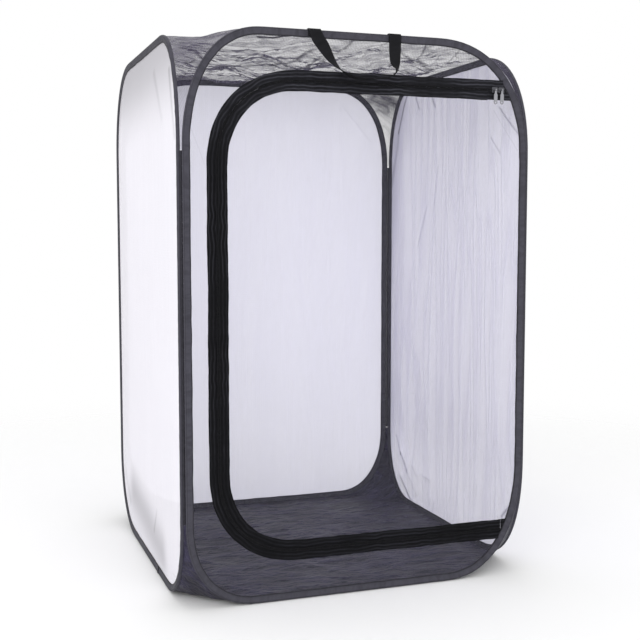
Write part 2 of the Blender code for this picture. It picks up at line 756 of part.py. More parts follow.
def make_slider(name, across, parent):
    """Two plates joined by a post between the zip's halves, with flanges and a bridge."""
    metal = "slider_metal"
    slider = prism(name, slider_outline(), SLIDER_FRONT_LOW, SLIDER_FRONT_HIGH, metal)
    back = prism("back_plate", slider_outline(), SLIDER_BACK_LOW, SLIDER_BACK_HIGH, metal)
    post_width = 2 * (COIL_SLOT_HALF - GAP)
    post_high = SLIDER_FRONT_LOW + SLIDER_PLATE / 2
    post_low = SLIDER_BACK_HIGH - SLIDER_PLATE / 2
    post_size = (SLIDER_POST_LENGTH, post_width, post_high - post_low)
    post = block("post", post_size, (0, 0, (post_high + post_low) / 2), metal)
    flange_low = TAPE_FRONT + GAP
    flange_size = (SLIDER_LENGTH * SLIDER_TAIL_SHARE, SLIDER_FLANGE, post_high - flange_low)
    flange_y = SLIDER_WIDTH / 2 - SLIDER_FLANGE
    flanges = [
        block("flange", flange_size, (0, side * flange_y, (post_high + flange_low) / 2), metal)
        for side in (-1, 1)
    ]
    bridge = loft("bridge", bridge_rings(), False, metal)
    combine(slider, [back, post, *flanges, bridge], "UNION")
    point = wall_point("front", across, ZIP_TOP, BINDING_HALF)
    return hang(slider, point, parent, (math.pi / 2, 0, 0))


def pull_outline():
    """The tab's face: a neck at the ring, wider below, with a round end."""
    neck = PULL_NECK / 2
    wide = PULL_WIDTH / 2
    start = PULL_RING_BORE + PULL_RING_WALL / 2
    spread = start + PULL_WIDTH
    centre = PULL_LENGTH - wide
    side = [(neck, -start), (neck, -start - PULL_NECK), (wide, -spread)]
    steps = ROUND_SIDES // 2
    end = []
    for step in range(steps + 1):
        angle = -math.pi * step / steps
        end.append((wide * math.cos(angle), -centre + wide * math.sin(angle)))
    return side + end + [(-x, y) for x, y in reversed(side)]


def make_pull(name, slider):
    """A tab with a ring round the slider's bridge and a hole near its end."""
    metal = "slider_metal"
    outer = PULL_RING_BORE + PULL_RING_WALL
    pull = prism(name, pull_outline(), -PULL_THICKNESS / 2, PULL_THICKNESS / 2, metal)
    ring = round_bar("ring", outer, PULL_RING_LENGTH, ROUND_SIDES, metal)
    along_x = Matrix.Rotation(math.pi / 2, 4, "Y")
    ring.data.transform(along_x @ Matrix.Translation((0, 0, -PULL_RING_LENGTH / 2)))
    bore = round_bar("bore", PULL_RING_BORE, 2 * PULL_NECK, ROUND_SIDES, metal)
    bore.data.transform(along_x @ Matrix.Translation((0, 0, -PULL_NECK)))
    hole = round_bar("hole", PULL_HOLE, 2 * PULL_THICKNESS, ROUND_SIDES, metal)
    hole_y = -(PULL_LENGTH - PULL_WIDTH / 2)
    hole.data.transform(Matrix.Translation((0, hole_y, -PULL_THICKNESS)))
    combine(pull, [ring], "UNION")
    combine(pull, [bore, hole], "DIFFERENCE")
    point = Vector(slider["place"]) + Vector((0, -BRIDGE_AXIS, 0))
    return hang(pull, point, slider_frame(slider), (math.pi / 2, 0, 0))


def slider_frame(slider):
    """The unturned empty that rides with a slider, which its pull tab hangs on."""
    return add_pivot(f"{slider.name}_frame", slider["place"], slider.parent)


# Carry loop


def smooth_path(points, steps):
    """Rows of numbers on a smooth curve through the given rows."""
    rows = [points[0]] + list(points) + [points[-1]]
    smooth = []
    for before, start, end, after in zip(rows, rows[1:], rows[2:], rows[3:]):
        for step in range(steps):
            t = step / steps
            smooth.append([
                (2 * b + (c - a) * t + (2 * a - 5 * b + 4 * c - d) * t**2
                 + (3 * b - a - 3 * c + d) * t**3) / 2
                for a, b, c, d in zip(before, start, end, after)
            ])
    return smooth + [list(points[-1])]


def handle_route():
    """(across, up, out, turn) down one leg, along the bottom and up the other.

    The webbing lies flat at its ends and turns a quarter on edge at the bottom of the loop."""
    spread = HANDLE_RIGHT - HANDLE_LEFT
    stand = HANDLE_STAND_OFF
    quarter = math.pi / 2
    route_shares = (
        (0.00, 0.00, 0.00, 0.00),
        (0.04, 0.26, 0.03, 0.04),
        (0.13, 0.56, 0.24, 0.32),
        (0.25, 0.82, 0.66, 0.72),
        (0.40, 0.97, 0.95, 1.00),
        (0.60, 1.00, 1.00, 1.00),
        (0.80, 0.96, 0.95, 1.00),
        (0.93, 0.82, 0.70, 0.72),
        (0.99, 0.60, 0.28, 0.32),
        (1.00, 0.30, 0.03, 0.04),
        (1.00, 0.00, 0.00, 0.00),
    )
    route = []
    for across, down, out, turn in route_shares:
        route.append((
            HANDLE_LEFT + spread * across,
            HANDLE_AXIS_UP - HANDLE_DROP * down,
            HANDLE_AXIS_OUT + stand * out,
            quarter * turn,
        ))
    return smooth_path(route, HANDLE_SMOOTHING)


def handle_rings():
    """Sections of the webbing along its route, in world coordinates, level at its two sewn ends."""
    route = handle_route()
    rings = []
    for index, (across, up, out, turn) in enumerate(route):
        before = route[max(index - 1, 0)]
        after = route[min(index + 1, len(route) - 1)]
        run = Vector((after[0] - before[0], before[2] - after[2], after[1] - before[1])).normalized()
        slant = Vector((-run.z, 0, run.x)).normalized()
        level = Vector((math.copysign(1, slant.x), 0, 0))
        clear = min(index, len(route) - 1 - index) / HANDLE_SMOOTHING
        flat = level.lerp(slant, min(clear, 1)).normalized()
        edge = (flat * math.cos(turn) + Vector((0, -1, 0)) * math.sin(turn)) * WEBBING_WIDTH / 2
        face = run.cross(edge).normalized() * WEBBING_THICKNESS / 2
        centre = wall_point("front", across, up, out)
        rings.append([centre + edge + face, centre - edge + face, centre - edge - face, centre + edge - face])
    return rings


def make_handle(parent):
    handle = loft("carry_loop", handle_rings(), False, "webbing")
    handle.data.transform(Matrix.Translation(-Vector(parent["place"])))
    return hang(handle, parent["place"], parent)


def make_handle_ends(parent):
    """The loop's two sewn ends, from the top mesh's seam over the front binding."""
    inner = -GAP
    outer = 2 * BINDING_HALF + GAP
    lid = CAGE_HEIGHT + GAP
    path = [
        (inner, HOOP_HIGH + GAP),
        (inner, lid - BINDING_TAPE),
        (inner + BINDING_TAPE, lid),
        (outer - BINDING_TAPE, lid),
        (outer, lid - BINDING_TAPE),
        (outer, CAGE_HEIGHT - ANCHOR_FRONT_LENGTH),
    ]
    far = offset_path(path, -WEBBING_THICKNESS, False)
    for side_name, across in (("left", HANDLE_LEFT), ("right", HANDLE_RIGHT)):
        rings = []
        for near_point, far_point in zip(path, far):
            ring = []
            for (out, up), side in ((near_point, -1), (near_point, 1), (far_point, 1), (far_point, -1)):
                ring.append(wall_point("front", across + side * WEBBING_WIDTH / 2, up, out))
            rings.append(ring)
        end = loft(f"carry_loop_end_{side_name}", rings, False, "webbing")
        hang(end, (0, 0, 0), parent)


# The whole cage


def make_wall(wall, parent):
    """What each wall has: its hoop, the sleeve at the hoop's ends, and its binding."""
    make_hoop(wall, parent)
    make_sleeve(wall, parent)
    make_binding(wall, parent)


def make_front(parent):
    make_wall("front", parent)
    make_front_mesh(parent)
    make_front_zip(parent)
    make_handle_ends(parent)
    door_hinge = add_pivot("door_hinge", wall_point("front", DOOR_HINGE_SIDE, 0, DOOR_AXIS_OUT), parent)
    make_door_mesh(door_hinge)
    make_door_zip(door_hinge)
    middle = (HANDLE_LEFT + HANDLE_RIGHT) / 2
    handle_point = wall_point("front", middle, HANDLE_AXIS_UP, HANDLE_AXIS_OUT)
    make_handle(add_pivot("carry_loop_hinge", handle_point, parent))
    right = DOOR_HINGE_SIDE - SLIDER_END_MARGIN
    for name, across in (("right", right), ("left", right - SLIDER_SPACING)):
        slider = make_slider(f"slider_{name}", across, parent)
        make_pull(f"pull_{name}", slider)


def main():
    clear_scene()
    left_hinge = add_pivot("left_wall_hinge", (*CORNERS["back_left"], 0))
    front_hinge = add_pivot("front_wall_hinge", (*CORNERS["front_left"], 0), left_hinge)
    right_hinge = add_pivot("right_wall_hinge", (*CORNERS["back_right"], 0))
    for wall, parent in (("back", None), ("left", left_hinge), ("right", right_hinge)):
        make_wall(wall, parent)
        make_wall_mesh(wall, parent)
    make_front(front_hinge)
    make_corner_seam("back_left", None)
    make_corner_seam("back_right", None)
    make_corner_seam("front_left", left_hinge)
    make_corner_seam("front_right", right_hinge)
    make_top()
    make_floor()


main()
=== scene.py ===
"""Dresses the collapsible butterfly cage: its bindings, nets, floor cloth, zip, webbing and metal."""

import json
import math

import bmesh
import bpy
from bpy.props import FloatProperty, FloatVectorProperty, IntProperty, PointerProperty
from mathutils import Matrix, Vector, noise


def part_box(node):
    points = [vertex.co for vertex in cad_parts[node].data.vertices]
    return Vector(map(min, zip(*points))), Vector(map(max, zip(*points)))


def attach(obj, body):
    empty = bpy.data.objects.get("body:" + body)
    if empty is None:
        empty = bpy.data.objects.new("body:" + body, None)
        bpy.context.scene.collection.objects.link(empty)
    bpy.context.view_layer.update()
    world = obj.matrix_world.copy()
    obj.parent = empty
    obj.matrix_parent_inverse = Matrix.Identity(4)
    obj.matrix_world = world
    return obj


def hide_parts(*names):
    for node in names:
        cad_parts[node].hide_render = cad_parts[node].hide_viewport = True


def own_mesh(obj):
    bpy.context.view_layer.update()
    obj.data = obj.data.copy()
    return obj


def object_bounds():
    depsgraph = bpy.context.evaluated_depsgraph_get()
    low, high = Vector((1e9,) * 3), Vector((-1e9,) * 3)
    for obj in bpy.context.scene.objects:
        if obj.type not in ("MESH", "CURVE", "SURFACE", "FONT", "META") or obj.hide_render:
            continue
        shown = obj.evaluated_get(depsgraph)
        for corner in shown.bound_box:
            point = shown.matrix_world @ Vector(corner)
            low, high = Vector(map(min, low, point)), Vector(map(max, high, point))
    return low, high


bl_info = {
    "name": "Butterfly cage",
    "version": (1, 0, 0),
    "blender": (4, 5, 0),
    "location": "View3D > Sidebar > Cage",
    "description": "Sews the cloth, nets, zip and webbing of a pop-up cage onto its frame",
    "category": "Object",
}

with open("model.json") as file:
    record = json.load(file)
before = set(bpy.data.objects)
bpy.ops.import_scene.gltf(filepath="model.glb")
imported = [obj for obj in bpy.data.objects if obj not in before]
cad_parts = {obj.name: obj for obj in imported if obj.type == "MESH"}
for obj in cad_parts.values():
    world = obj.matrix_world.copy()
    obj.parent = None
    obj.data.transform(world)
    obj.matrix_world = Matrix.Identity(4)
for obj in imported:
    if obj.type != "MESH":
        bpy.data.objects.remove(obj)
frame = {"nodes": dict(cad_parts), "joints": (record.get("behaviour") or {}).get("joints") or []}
CAD_BOX = [list(corner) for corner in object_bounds()]

# Places that the frame gives
HINGES = {joint["name"]: Vector(joint["pos_m"]) for joint in frame["joints"] if "pos_m" in joint}
PIVOT_X = -HINGES["left_wall_fold"].x
PIVOT_Y = HINGES["left_wall_fold"].y
DOOR_HINGE = HINGES["door_swing"].x
CAGE_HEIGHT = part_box("front_binding")[1].z
CAGE_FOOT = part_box("front_binding")[0].z
CAGE_WIDTH = CAD_BOX[1][0] - CAD_BOX[0][0]

# Each wall's turn about +Z, the distance of its inner face from the middle, its half width between
# the hinge lines, the corners at its two ends, and the body that carries it
WALLS = {
    "front": (0.0, PIVOT_Y, PIVOT_X, "front_left", "front_right", "front_wall"),
    "right": (math.pi / 2, PIVOT_X, PIVOT_Y, "front_right", "back_right", "right_wall"),
    "back": (math.pi, PIVOT_Y, PIVOT_X, "back_right", "back_left", "back_wall"),
    "left": (-math.pi / 2, PIVOT_X, PIVOT_Y, "back_left", "front_left", "left_wall"),
}
CORNERS = {
    "front_left": (-PIVOT_X, -PIVOT_Y),
    "front_right": (PIVOT_X, -PIVOT_Y),
    "back_right": (PIVOT_X, PIVOT_Y),
    "back_left": (-PIVOT_X, PIVOT_Y),
}
SEAM_BODIES = {
    "front_left": "left_wall",
    "front_right": "right_wall",
    "back_right": "back_wall",
    "back_left": "back_wall",
}
# Rounding of each corner as shares of the run and drop: top run, top drop, foot run, foot rise
CORNER_SHARES = {
    "front_left": (0.765, 0.945, 0.700, 0.675),
    "front_right": (1.000, 0.945, 0.845, 1.000),
    "back_right": (0.755, 0.855, 0.680, 0.745),
    "back_left": (1.000, 0.855, 0.955, 0.745),
}
# Folds and painted shade of each wall's net: from (across, up) to (across, up), half width, and
# darkness. Thin lines are creases, where the net is lifted, hides more and is painted darker as
# painted shade; wide lines are painted shade, and a negative darkness is painted light
NET_FOLDS_AND_SHADE = {
    "right": (
        (0.272, 0.879, 0.315, 0.808, 0.0060, 0.62),
        (0.233, 0.892, 0.283, 0.815, 0.0055, 0.62),
        (0.283, 0.815, 0.311, 0.747, 0.0055, 0.60),
        (0.203, 0.888, 0.238, 0.811, 0.0065, 0.55),
        (0.238, 0.811, 0.285, 0.700, 0.0120, 0.22),
        (0.156, 0.877, 0.137, 0.851, 0.0050, 0.35),
        (0.081, 0.874, 0.059, 0.847, 0.0050, 0.40),
        (0.047, 0.727, 0.064, 0.652, 0.0040, 0.20),
        (0.055, 0.735, 0.072, 0.650, 0.0040, -0.12),
        (0.098, 0.648, 0.142, 0.565, 0.0045, 0.26),
        (0.108, 0.650, 0.152, 0.565, 0.0050, -0.16),
        (-0.204, 0.819, -0.267, 0.768, 0.0036, 0.35),
        (-0.175, 0.767, -0.210, 0.737, 0.0032, 0.28),
        (0.233, 0.850, 0.290, 0.640, 0.0600, 0.10),
        (0.305, 0.200, 0.305, 0.820, 0.1300, 0.17),
        (-0.290, 0.900, 0.290, 0.900, 0.1700, 0.09),
        (-0.290, 0.030, 0.180, 0.030, 0.2000, -0.20),
        (0.246, 0.145, 0.215, 0.109, 0.0055, 0.40),
        (0.215, 0.109, 0.184, 0.076, 0.0070, 0.36),
        (0.184, 0.076, 0.139, 0.033, 0.0090, 0.18),
        (0.219, 0.058, 0.168, 0.009, 0.0050, 0.60),
        (0.160, 0.093, 0.131, 0.075, 0.0045, 0.26),
        (0.117, 0.084, 0.066, 0.080, 0.0030, 0.24),
        (-0.294, 0.144, -0.233, 0.082, 0.0045, 0.50),
        (-0.139, 0.117, -0.132, 0.097, 0.0035, 0.26),
        (0.052, 0.036, 0.064, 0.011, 0.0035, 0.30),
    ),
    "left": (
        (-0.150, 0.085, 0.130, 0.050, 0.0800, 0.46),
        (-0.252, 0.110, -0.196, 0.062, 0.0250, 0.22),
        (0.092, 0.110, 0.066, 0.068, 0.0080, 0.16),
        (0.224, 0.039, 0.272, 0.034, 0.0060, 0.16),
        (-0.250, 0.890, 0.250, 0.900, 0.1500, 0.52),
        (-0.262, 0.760, -0.215, 0.870, 0.0090, 0.24),
        (0.272, 0.745, 0.238, 0.850, 0.0100, 0.24),
        (0.180, 0.780, 0.120, 0.860, 0.0140, 0.12),
    ),
    "back": (
        (-0.280, 0.880, 0.280, 0.880, 0.1100, 0.07),
        (-0.290, 0.020, 0.290, 0.020, 0.2600, -0.12),
        (-0.190, 0.870, -0.262, 0.790, 0.0018, 0.16),
        (0.205, 0.868, 0.262, 0.780, 0.0018, 0.16),
        (0.230, 0.060, 0.272, 0.130, 0.0018, 0.16),
    ),
    "front": (
        (0.235, 0.800, 0.280, 0.735, 0.0016, 0.25),
        (-0.285, 0.760, -0.262, 0.700, 0.0014, 0.20),
    ),
}
# Creases of the top, and a wide darker band near its back, from (x, y) to (x, y), in the same form;
# the creases hide more and are painted darker as painted shade
TOP_CREASES_AND_SHADE = (
    (-0.253, -0.100, -0.227, -0.087, 0.0080, 0.60),
    (-0.227, -0.087, -0.187, -0.019, 0.0080, 0.60),
    (-0.225, 0.007, -0.214, -0.021, 0.0060, 0.50),
    (-0.214, 0.054, -0.157, 0.074, 0.0100, 0.40),
    (-0.173, 0.107, -0.121, 0.074, 0.0100, 0.30),
    (-0.126, -0.016, -0.073, -0.034, 0.0090, 0.35),
    (-0.073, -0.034, -0.049, -0.194, 0.0080, 0.45),
    (-0.066, 0.069, -0.029, -0.050, 0.0080, 0.40),
    (-0.029, -0.050, -0.024, -0.158, 0.0080, 0.45),
    (-0.158, -0.248, -0.119, -0.271, 0.0070, 0.80),
    (-0.011, -0.009, -0.014, -0.154, 0.0060, 0.35),
    (-0.008, -0.190, -0.008, -0.298, 0.0050, 0.35),
    (0.150, -0.177, 0.113, -0.311, 0.0040, 0.40),
    (0.087, -0.240, 0.152, -0.160, 0.0080, 0.40),
    (0.152, -0.160, 0.237, -0.056, 0.0100, 0.35),
    (0.203, -0.141, 0.188, -0.191, 0.0030, 0.30),
    (0.237, -0.115, 0.194, -0.261, 0.0030, 0.35),
    (0.052, -0.160, 0.074, -0.218, 0.0050, 0.30),
    (0.172, -0.053, 0.252, -0.051, 0.0120, 0.40),
    (-0.300, 0.262, 0.300, 0.262, 0.0650, 0.55),
)
# Folds shared with the cloth solids: heading as a share of a turn, spacing as a share of the
# cage's width, height, and phase in turns
TOP_FOLDS = (
    (0.035, 0.210, 0.50, 0.15),
    (0.310, 0.260, 0.32, 0.40),
    (0.915, 0.170, 0.30, 0.70),
)
FLOOR_FOLDS = (
    (0.060, 0.230, 0.55, 0.05),
    (0.400, 0.190, 0.45, 0.60),
)
# The carry loop's way, as shares: across, down, out and quarter turns on edge
LOOP_ROUTE = (
    (0.000, 0.000, 0.00, 0.00),
    (0.035, 0.170, 0.02, 0.02),
    (0.095, 0.330, 0.08, 0.08),
    (0.180, 0.600, 0.36, 0.40),
    (0.260, 0.780, 0.62, 0.68),
    (0.360, 0.920, 0.85, 0.92),
    (0.480, 1.000, 1.00, 1.00),
    (0.660, 1.000, 1.00, 1.00),
    (0.850, 0.960, 0.95, 1.00),
    (0.960, 0.870, 0.75, 0.90),
    (0.995, 0.760, 0.45, 0.60),
    (0.992, 0.600, 0.18, 0.22),
    (0.995, 0.300, 0.02, 0.03),
    (1.000, 0.000, 0.00, 0.00),
)
# The name of the tapes' UV map, and the spacing of the points along a sewn edge and along a tape
UV_NAME = "Along"
EDGE_SPACING = 0.004
TAPE_SPACING = 0.006
# Where the painted shadow at the lap of the left binding's tape starts, across its wall, and how long it is
LAP_START = 0.098
LAP_LENGTH = 0.0045
# Nets: how far from the zip's chain they stop, the gap at the door's hinge and notch, and the depth
# of the notch that leaves room for the sliders
NET_MARGIN = 0.0060
DOOR_GAP = 0.0003
NOTCH_DEPTH = 0.0243
# A place inside the door, from which the rings of cells of the front net spread
RING_CENTRE = (0.02, 0.45)
# Corner seams: radii of a stitch's hollow and bump, sides, length and twist of one stitch, and the
# width of one side
SEAM_RADII = (0.00195, 0.00215)
SEAM_SIDES = 8
STITCH_LENGTH = 0.0012
STITCH_TWIST = 0.12
SEAM_FACE = 0.0013
# Sharp wrinkles of the top and floor: height, heading, length, width and seed
TOP_WRINKLES = (
    (0.0036, 0.5, 0.080, 0.014, 1.3),
    (0.0030, -0.25, 0.060, 0.011, 5.1),
    (0.0024, 2.1, 0.045, 0.010, 8.6),
)
FLOOR_WRINKLES = (
    (0.0022, 0.18, 0.110, 0.020, 2.2),
    (0.0016, -0.55, 0.060, 0.016, 6.4),
)
# Folds of the nets wider than this only shade them
WIDEST_LIFTED_FOLD = 0.02
# How near a point of the tape's cut end is to the end of its path, along it and across it
END_REACH = 0.000701
TAPE_REACH = 0.03
# The coil: its middle's distance from the chain, and a turn's size, height and rounding
COIL_SETBACK = 0.00142
TOOTH_SIZE = (0.00095, 0.0027, 0.0014)
TOOTH_HEIGHT = 0.00215
TOOTH_ROUNDING = 0.0003
# Each soft light: its place, size, and share of the key light's power
SOFTBOXES = {
    "key": ((-1.9, -2.9, 2.0), 2.2, 1.0),
    "fill": ((0.5, -3.3, 0.5), 1.6, 0.50),
    "overhead": ((0.0, 0.3, 3.0), 2.4, 0.25),
}


# Sizes and colours that a user would change


def size_setting(label, about, default):
    return FloatProperty(name=label, description=about, default=default, unit="LENGTH")


def colour_setting(label, about, default):
    return FloatVectorProperty(
        name=label, description=about, default=default, subtype="COLOR", min=0, max=1
    )


class HoopSettings(bpy.types.PropertyGroup):
    corner_run: size_setting("Corner run", "Longest run of a hoop's rounded corner", 0.165)
    corner_drop: size_setting("Corner drop", "Tallest rounded corner of a hoop", 0.200)
    corner_power: FloatProperty(
        name="Corner fullness", description="2 is an ellipse, and more is squarer", default=2.2
    )
    binding_half: size_setting("Binding half depth", "Half the bound hoop's depth, in and out", 0.0030)
    nose: size_setting("Binding nose", "From the hoop's middle line to the outer edge", 0.0019)
    binding_width: size_setting("Binding width", "Width of the folded binding that shows", 0.0125)
    tape: size_setting("Tape thickness", "Thickness of the binding tape", 0.0006)
    setback: size_setting("Hoop setback", "From a hinge line to the hoop's middle line", 0.0034)
    colour: colour_setting("Binding colour", "Colour of the binding tape", (0.040, 0.0388, 0.0495))


class NetSettings(bpy.types.PropertyGroup):
    tuck: size_setting("Tuck", "How deep the net's edge sits in the binding", 0.0060)
    pitch: size_setting("Net pitch", "Distance between the net's threads", 0.0013)
    columns: IntProperty(name="Columns", description="Cells across a net", default=72, min=8)
    rows: IntProperty(name="Rows", description="Cells up a net", default=140, min=8)
    wall_colour: colour_setting("Wall colour", "Colour of the white net", (0.80, 0.785, 0.93))
    top_colour: colour_setting("Top colour", "Colour of the dark net", (0.070, 0.062, 0.098))
    sag: size_setting("Sag", "How far the top sags", 0.016)
    fold: size_setting("Top fold", "Height of the top's main folds", 0.0075)


class FloorSettings(bpy.types.PropertyGroup):
    thickness: size_setting("Thickness", "Thickness of the floor cloth", 0.0006)
    fold: size_setting("Fold", "Height of the floor's main folds", 0.0030)
    colour: colour_setting("Cloth colour", "Colour of the floor cloth", (0.0118, 0.0104, 0.0215))


class ZipSettings(bpy.types.PropertyGroup):
    side_margin: size_setting("Side margin", "From the cage's left side to the zip", 0.062)
    top_margin: size_setting("Top margin", "From the cage's top to the zip", 0.080)
    foot_margin: size_setting("Foot margin", "From the floor to the zip", 0.082)
    corner: size_setting("Corner", "Rounding of the zip's corners", 0.135)
    tape_width: size_setting("Tape width", "Width of one half of the tape", 0.0156)
    tooth_pitch: size_setting("Tooth pitch", "Distance between the coil's turns", 0.0015)
    end_length: size_setting("Closed end", "Length of the closed end of the zip", 0.0360)
    colour: colour_setting("Tape colour", "Colour of the zip tape", (0.0034, 0.0034, 0.0042))


class WebbingSettings(bpy.types.PropertyGroup):
    width: size_setting("Width", "Width of the webbing", 0.0210)
    thickness: size_setting("Thickness", "Thickness of the webbing", 0.0014)
    left: size_setting("Left leg", "Place of the left leg", -0.085)
    right: size_setting("Right leg", "Place of the right leg", 0.052)
    drop: size_setting("Drop", "How far the loop hangs", 0.073)
    stand_off: size_setting("Stand-off", "How far the loop stands out", 0.0140)
    colour: colour_setting("Webbing colour", "Colour of the webbing", (0.0062, 0.0062, 0.0075))


class StageSettings(bpy.types.PropertyGroup):
    eye: FloatVectorProperty(
        name="Camera", description="Where the camera stands", default=(-0.644, -1.917, 0.601), unit="LENGTH"
    )
    heading: FloatProperty(
        name="Heading", description="Camera's turn to the right", default=math.radians(19.42), unit="ROTATION"
    )
    pitch: FloatProperty(
        name="Pitch", description="Camera's tilt down", default=math.radians(4.84), unit="ROTATION"
    )
    lens: FloatProperty(name="Lens", description="Focal length in millimetres", default=60.0)
    key: FloatProperty(name="Key light", description="Power of the key light in watts", default=46.0)
    ambient: FloatProperty(name="Ambient", description="Strength of the light all round", default=0.96)


def settings(name):
    return getattr(bpy.context.scene, "cage_" + name)


# Materials


def put(tree, kind, links=(), **values):
    """Adds a node, sets its named inputs, and links (input, output socket) pairs to it."""
    node = tree.nodes.new(kind)
    for name, value in values.items():
        if hasattr(node, name):
            setattr(node, name, value)
        else:
            node.inputs[name.replace("_", " ").title()].default_value = value
    for key, source in links:
        tree.links.new(node.inputs[key], source)
    return node


def arithmetic(tree, operation, first, second=None, third=None):
    """A Math node on sockets or numbers. Returns its output."""
    node = tree.nodes.new("ShaderNodeMath")
    node.operation = operation
    for slot, value in enumerate((first, second, third)):
        if value is None:
            continue
        if isinstance(value, (int, float)):
            node.inputs[slot].default_value = value
        else:
            tree.links.new(node.inputs[slot], value)
    return node.outputs[0]


def vector_maths(tree, operation, first, second=None):
    """A Vector Math node on sockets or triples. Returns the node."""
    node = tree.nodes.new("ShaderNodeVectorMath")
    node.operation = operation
    for slot, value in enumerate((first, second)):
        if value is None:
            continue
        if isinstance(value, bpy.types.NodeSocket):
            tree.links.new(node.inputs[slot], value)
        else:
            node.inputs[slot].default_value = value
    return node


def ranged(tree, value, low, high, to_low, to_high, smooth=True):
    """A Map Range node from low..high to to_low..to_high. Returns its output."""
    node = tree.nodes.new("ShaderNodeMapRange")
    node.interpolation_type = "SMOOTHSTEP" if smooth else "LINEAR"
    tree.links.new(node.inputs["Value"], value)
    for name, number in (("From Min", low), ("From Max", high), ("To Min", to_low), ("To Max", to_high)):
        node.inputs[name].default_value = number
    return node.outputs["Result"]


def scaled(tree, vector, share):
    """A vector or colour times a socket's number. Returns its output."""
    node = vector_maths(tree, "SCALE", vector)
    tree.links.new(node.inputs["Scale"], share)
    return node.outputs["Vector"]


def stretched(tree, vector, scale=(1, 1, 1), turn=(0, 0, 0)):
    """A vector stretched and then turned. Returns its output."""
    mapping = put(tree, "ShaderNodeMapping", [("Vector", vector)], scale=scale, rotation=turn)
    return mapping.outputs["Vector"]


def shared_group(name):
    """Makes a node group at its first use, and finds it by its name after that."""

    def wrap(make):
        return lambda: bpy.data.node_groups.get(name) or make(name)

    return wrap


def shared_material(make):
    """Makes a material at its first use, and finds it by its name after that."""

    def find(name, *facts, **more_facts):
        return bpy.data.materials.get(name) or make(name, *facts, **more_facts)

    return find


def start_group(name, inputs, outputs):
    """A new shader node group with named float, vector or colour sockets."""
    group = bpy.data.node_groups.new(name, "ShaderNodeTree")
    for direction, sockets in (("INPUT", inputs), ("OUTPUT", outputs)):
        for label, kind in sockets:
            group.interface.new_socket(name=label, in_out=direction, socket_type="NodeSocket" + kind)
    return group, group.nodes.new("NodeGroupInput"), group.nodes.new("NodeGroupOutput")


@shared_group("Open net")
def net_group(name):
    """Threads of an open net in the X and Y of its vector."""
    group, given, out = start_group(
        name, (("Vector", "Vector"), ("Pitch", "Float")), (("Threads", "Float"), ("Height", "Float"))
    )
    parts = put(group, "ShaderNodeSeparateXYZ", [("Vector", given.outputs["Vector"])])
    turns = []
    for axis in ("X", "Y"):
        angle = arithmetic(group, "DIVIDE", parts.outputs[axis], given.outputs["Pitch"])
        angle = arithmetic(group, "MULTIPLY", angle, math.pi)
        turns.append(arithmetic(group, "ABSOLUTE", arithmetic(group, "SINE", angle)))
    nearest = arithmetic(group, "MINIMUM", *turns)
    threads = ranged(group, nearest, 0.22, 0.62, 1.0, 0.0)
    group.links.new(out.inputs["Threads"], threads)
    group.links.new(out.inputs["Height"], arithmetic(group, "SUBTRACT", 1.0, nearest))
    return group


@shared_group("Plain weave")
def weave_group(name):
    """Height of a plain weave in the X and Y of its vector."""
    group, given, out = start_group(
        name, (("Vector", "Vector"), ("Pitch", "Float"), ("Rib", "Float")), (("Height", "Float"),)
    )
    parts = put(group, "ShaderNodeSeparateXYZ", [("Vector", given.outputs["Vector"])])
    waves = []
    for axis in ("X", "Y"):
        angle = arithmetic(group, "DIVIDE", parts.outputs[axis], given.outputs["Pitch"])
        angle = arithmetic(group, "MULTIPLY", angle, math.pi)
        waves.append(arithmetic(group, "SINE", angle))
    over = arithmetic(group, "MULTIPLY", *waves)
    rib = arithmetic(group, "MULTIPLY", arithmetic(group, "ABSOLUTE", waves[0]), given.outputs["Rib"])
    height = arithmetic(group, "ADD", arithmetic(group, "MULTIPLY_ADD", over, 0.5, 0.5), rib)
    group.links.new(out.inputs["Height"], height)
    return group


@shared_group("Fold line")
def shade_line_group(name):
    """Nearness to a line of painted shade, such as a fold: 1 on the line from Start to End, and 0 at Width
    from it.
    """
    group, given, out = start_group(
        name,
        (("Vector", "Vector"), ("Start", "Vector"), ("End", "Vector"), ("Width", "Float")),
        (("Mask", "Float"),),
    )
    start = given.outputs["Start"]
    run = vector_maths(group, "SUBTRACT", given.outputs["End"], start).outputs["Vector"]
    reach = vector_maths(group, "SUBTRACT", given.outputs["Vector"], start).outputs["Vector"]
    share = arithmetic(
        group, "DIVIDE", vector_maths(group, "DOT_PRODUCT", reach, run).outputs["Value"],
        vector_maths(group, "DOT_PRODUCT", run, run).outputs["Value"],
    )
    share = put(group, "ShaderNodeClamp", [("Value", share)]).outputs["Result"]
    off = vector_maths(group, "SUBTRACT", reach, scaled(group, run, share)).outputs["Vector"]
    off = vector_maths(group, "LENGTH", off).outputs["Value"]
    away = arithmetic(group, "DIVIDE", off, given.outputs["Width"])
    group.links.new(out.inputs["Mask"], ranged(group, away, 0.0, 1.0, 1.0, 0.0))
    return group


@shared_group("Creases")
def crease_group(name):
    """Sharp ridges of creased cloth."""
    group, given, out = start_group(
        name, (("Vector", "Vector"), ("Scale", "Float"), ("Sharpness", "Float")), (("Height", "Float"),)
    )
    cloud = put(
        group, "ShaderNodeTexNoise",
        [("Vector", given.outputs["Vector"]), ("Scale", given.outputs["Scale"])],
        detail=3.0, roughness=0.5, distortion=0.6,
    )
    away = arithmetic(group, "ABSOLUTE", arithmetic(group, "MULTIPLY_ADD", cloud.outputs["Fac"], 2.0, -1.0))
    ridge = arithmetic(group, "SUBTRACT", 1.0, away)
    group.links.new(out.inputs["Height"], arithmetic(group, "POWER", ridge, given.outputs["Sharpness"]))
    return group


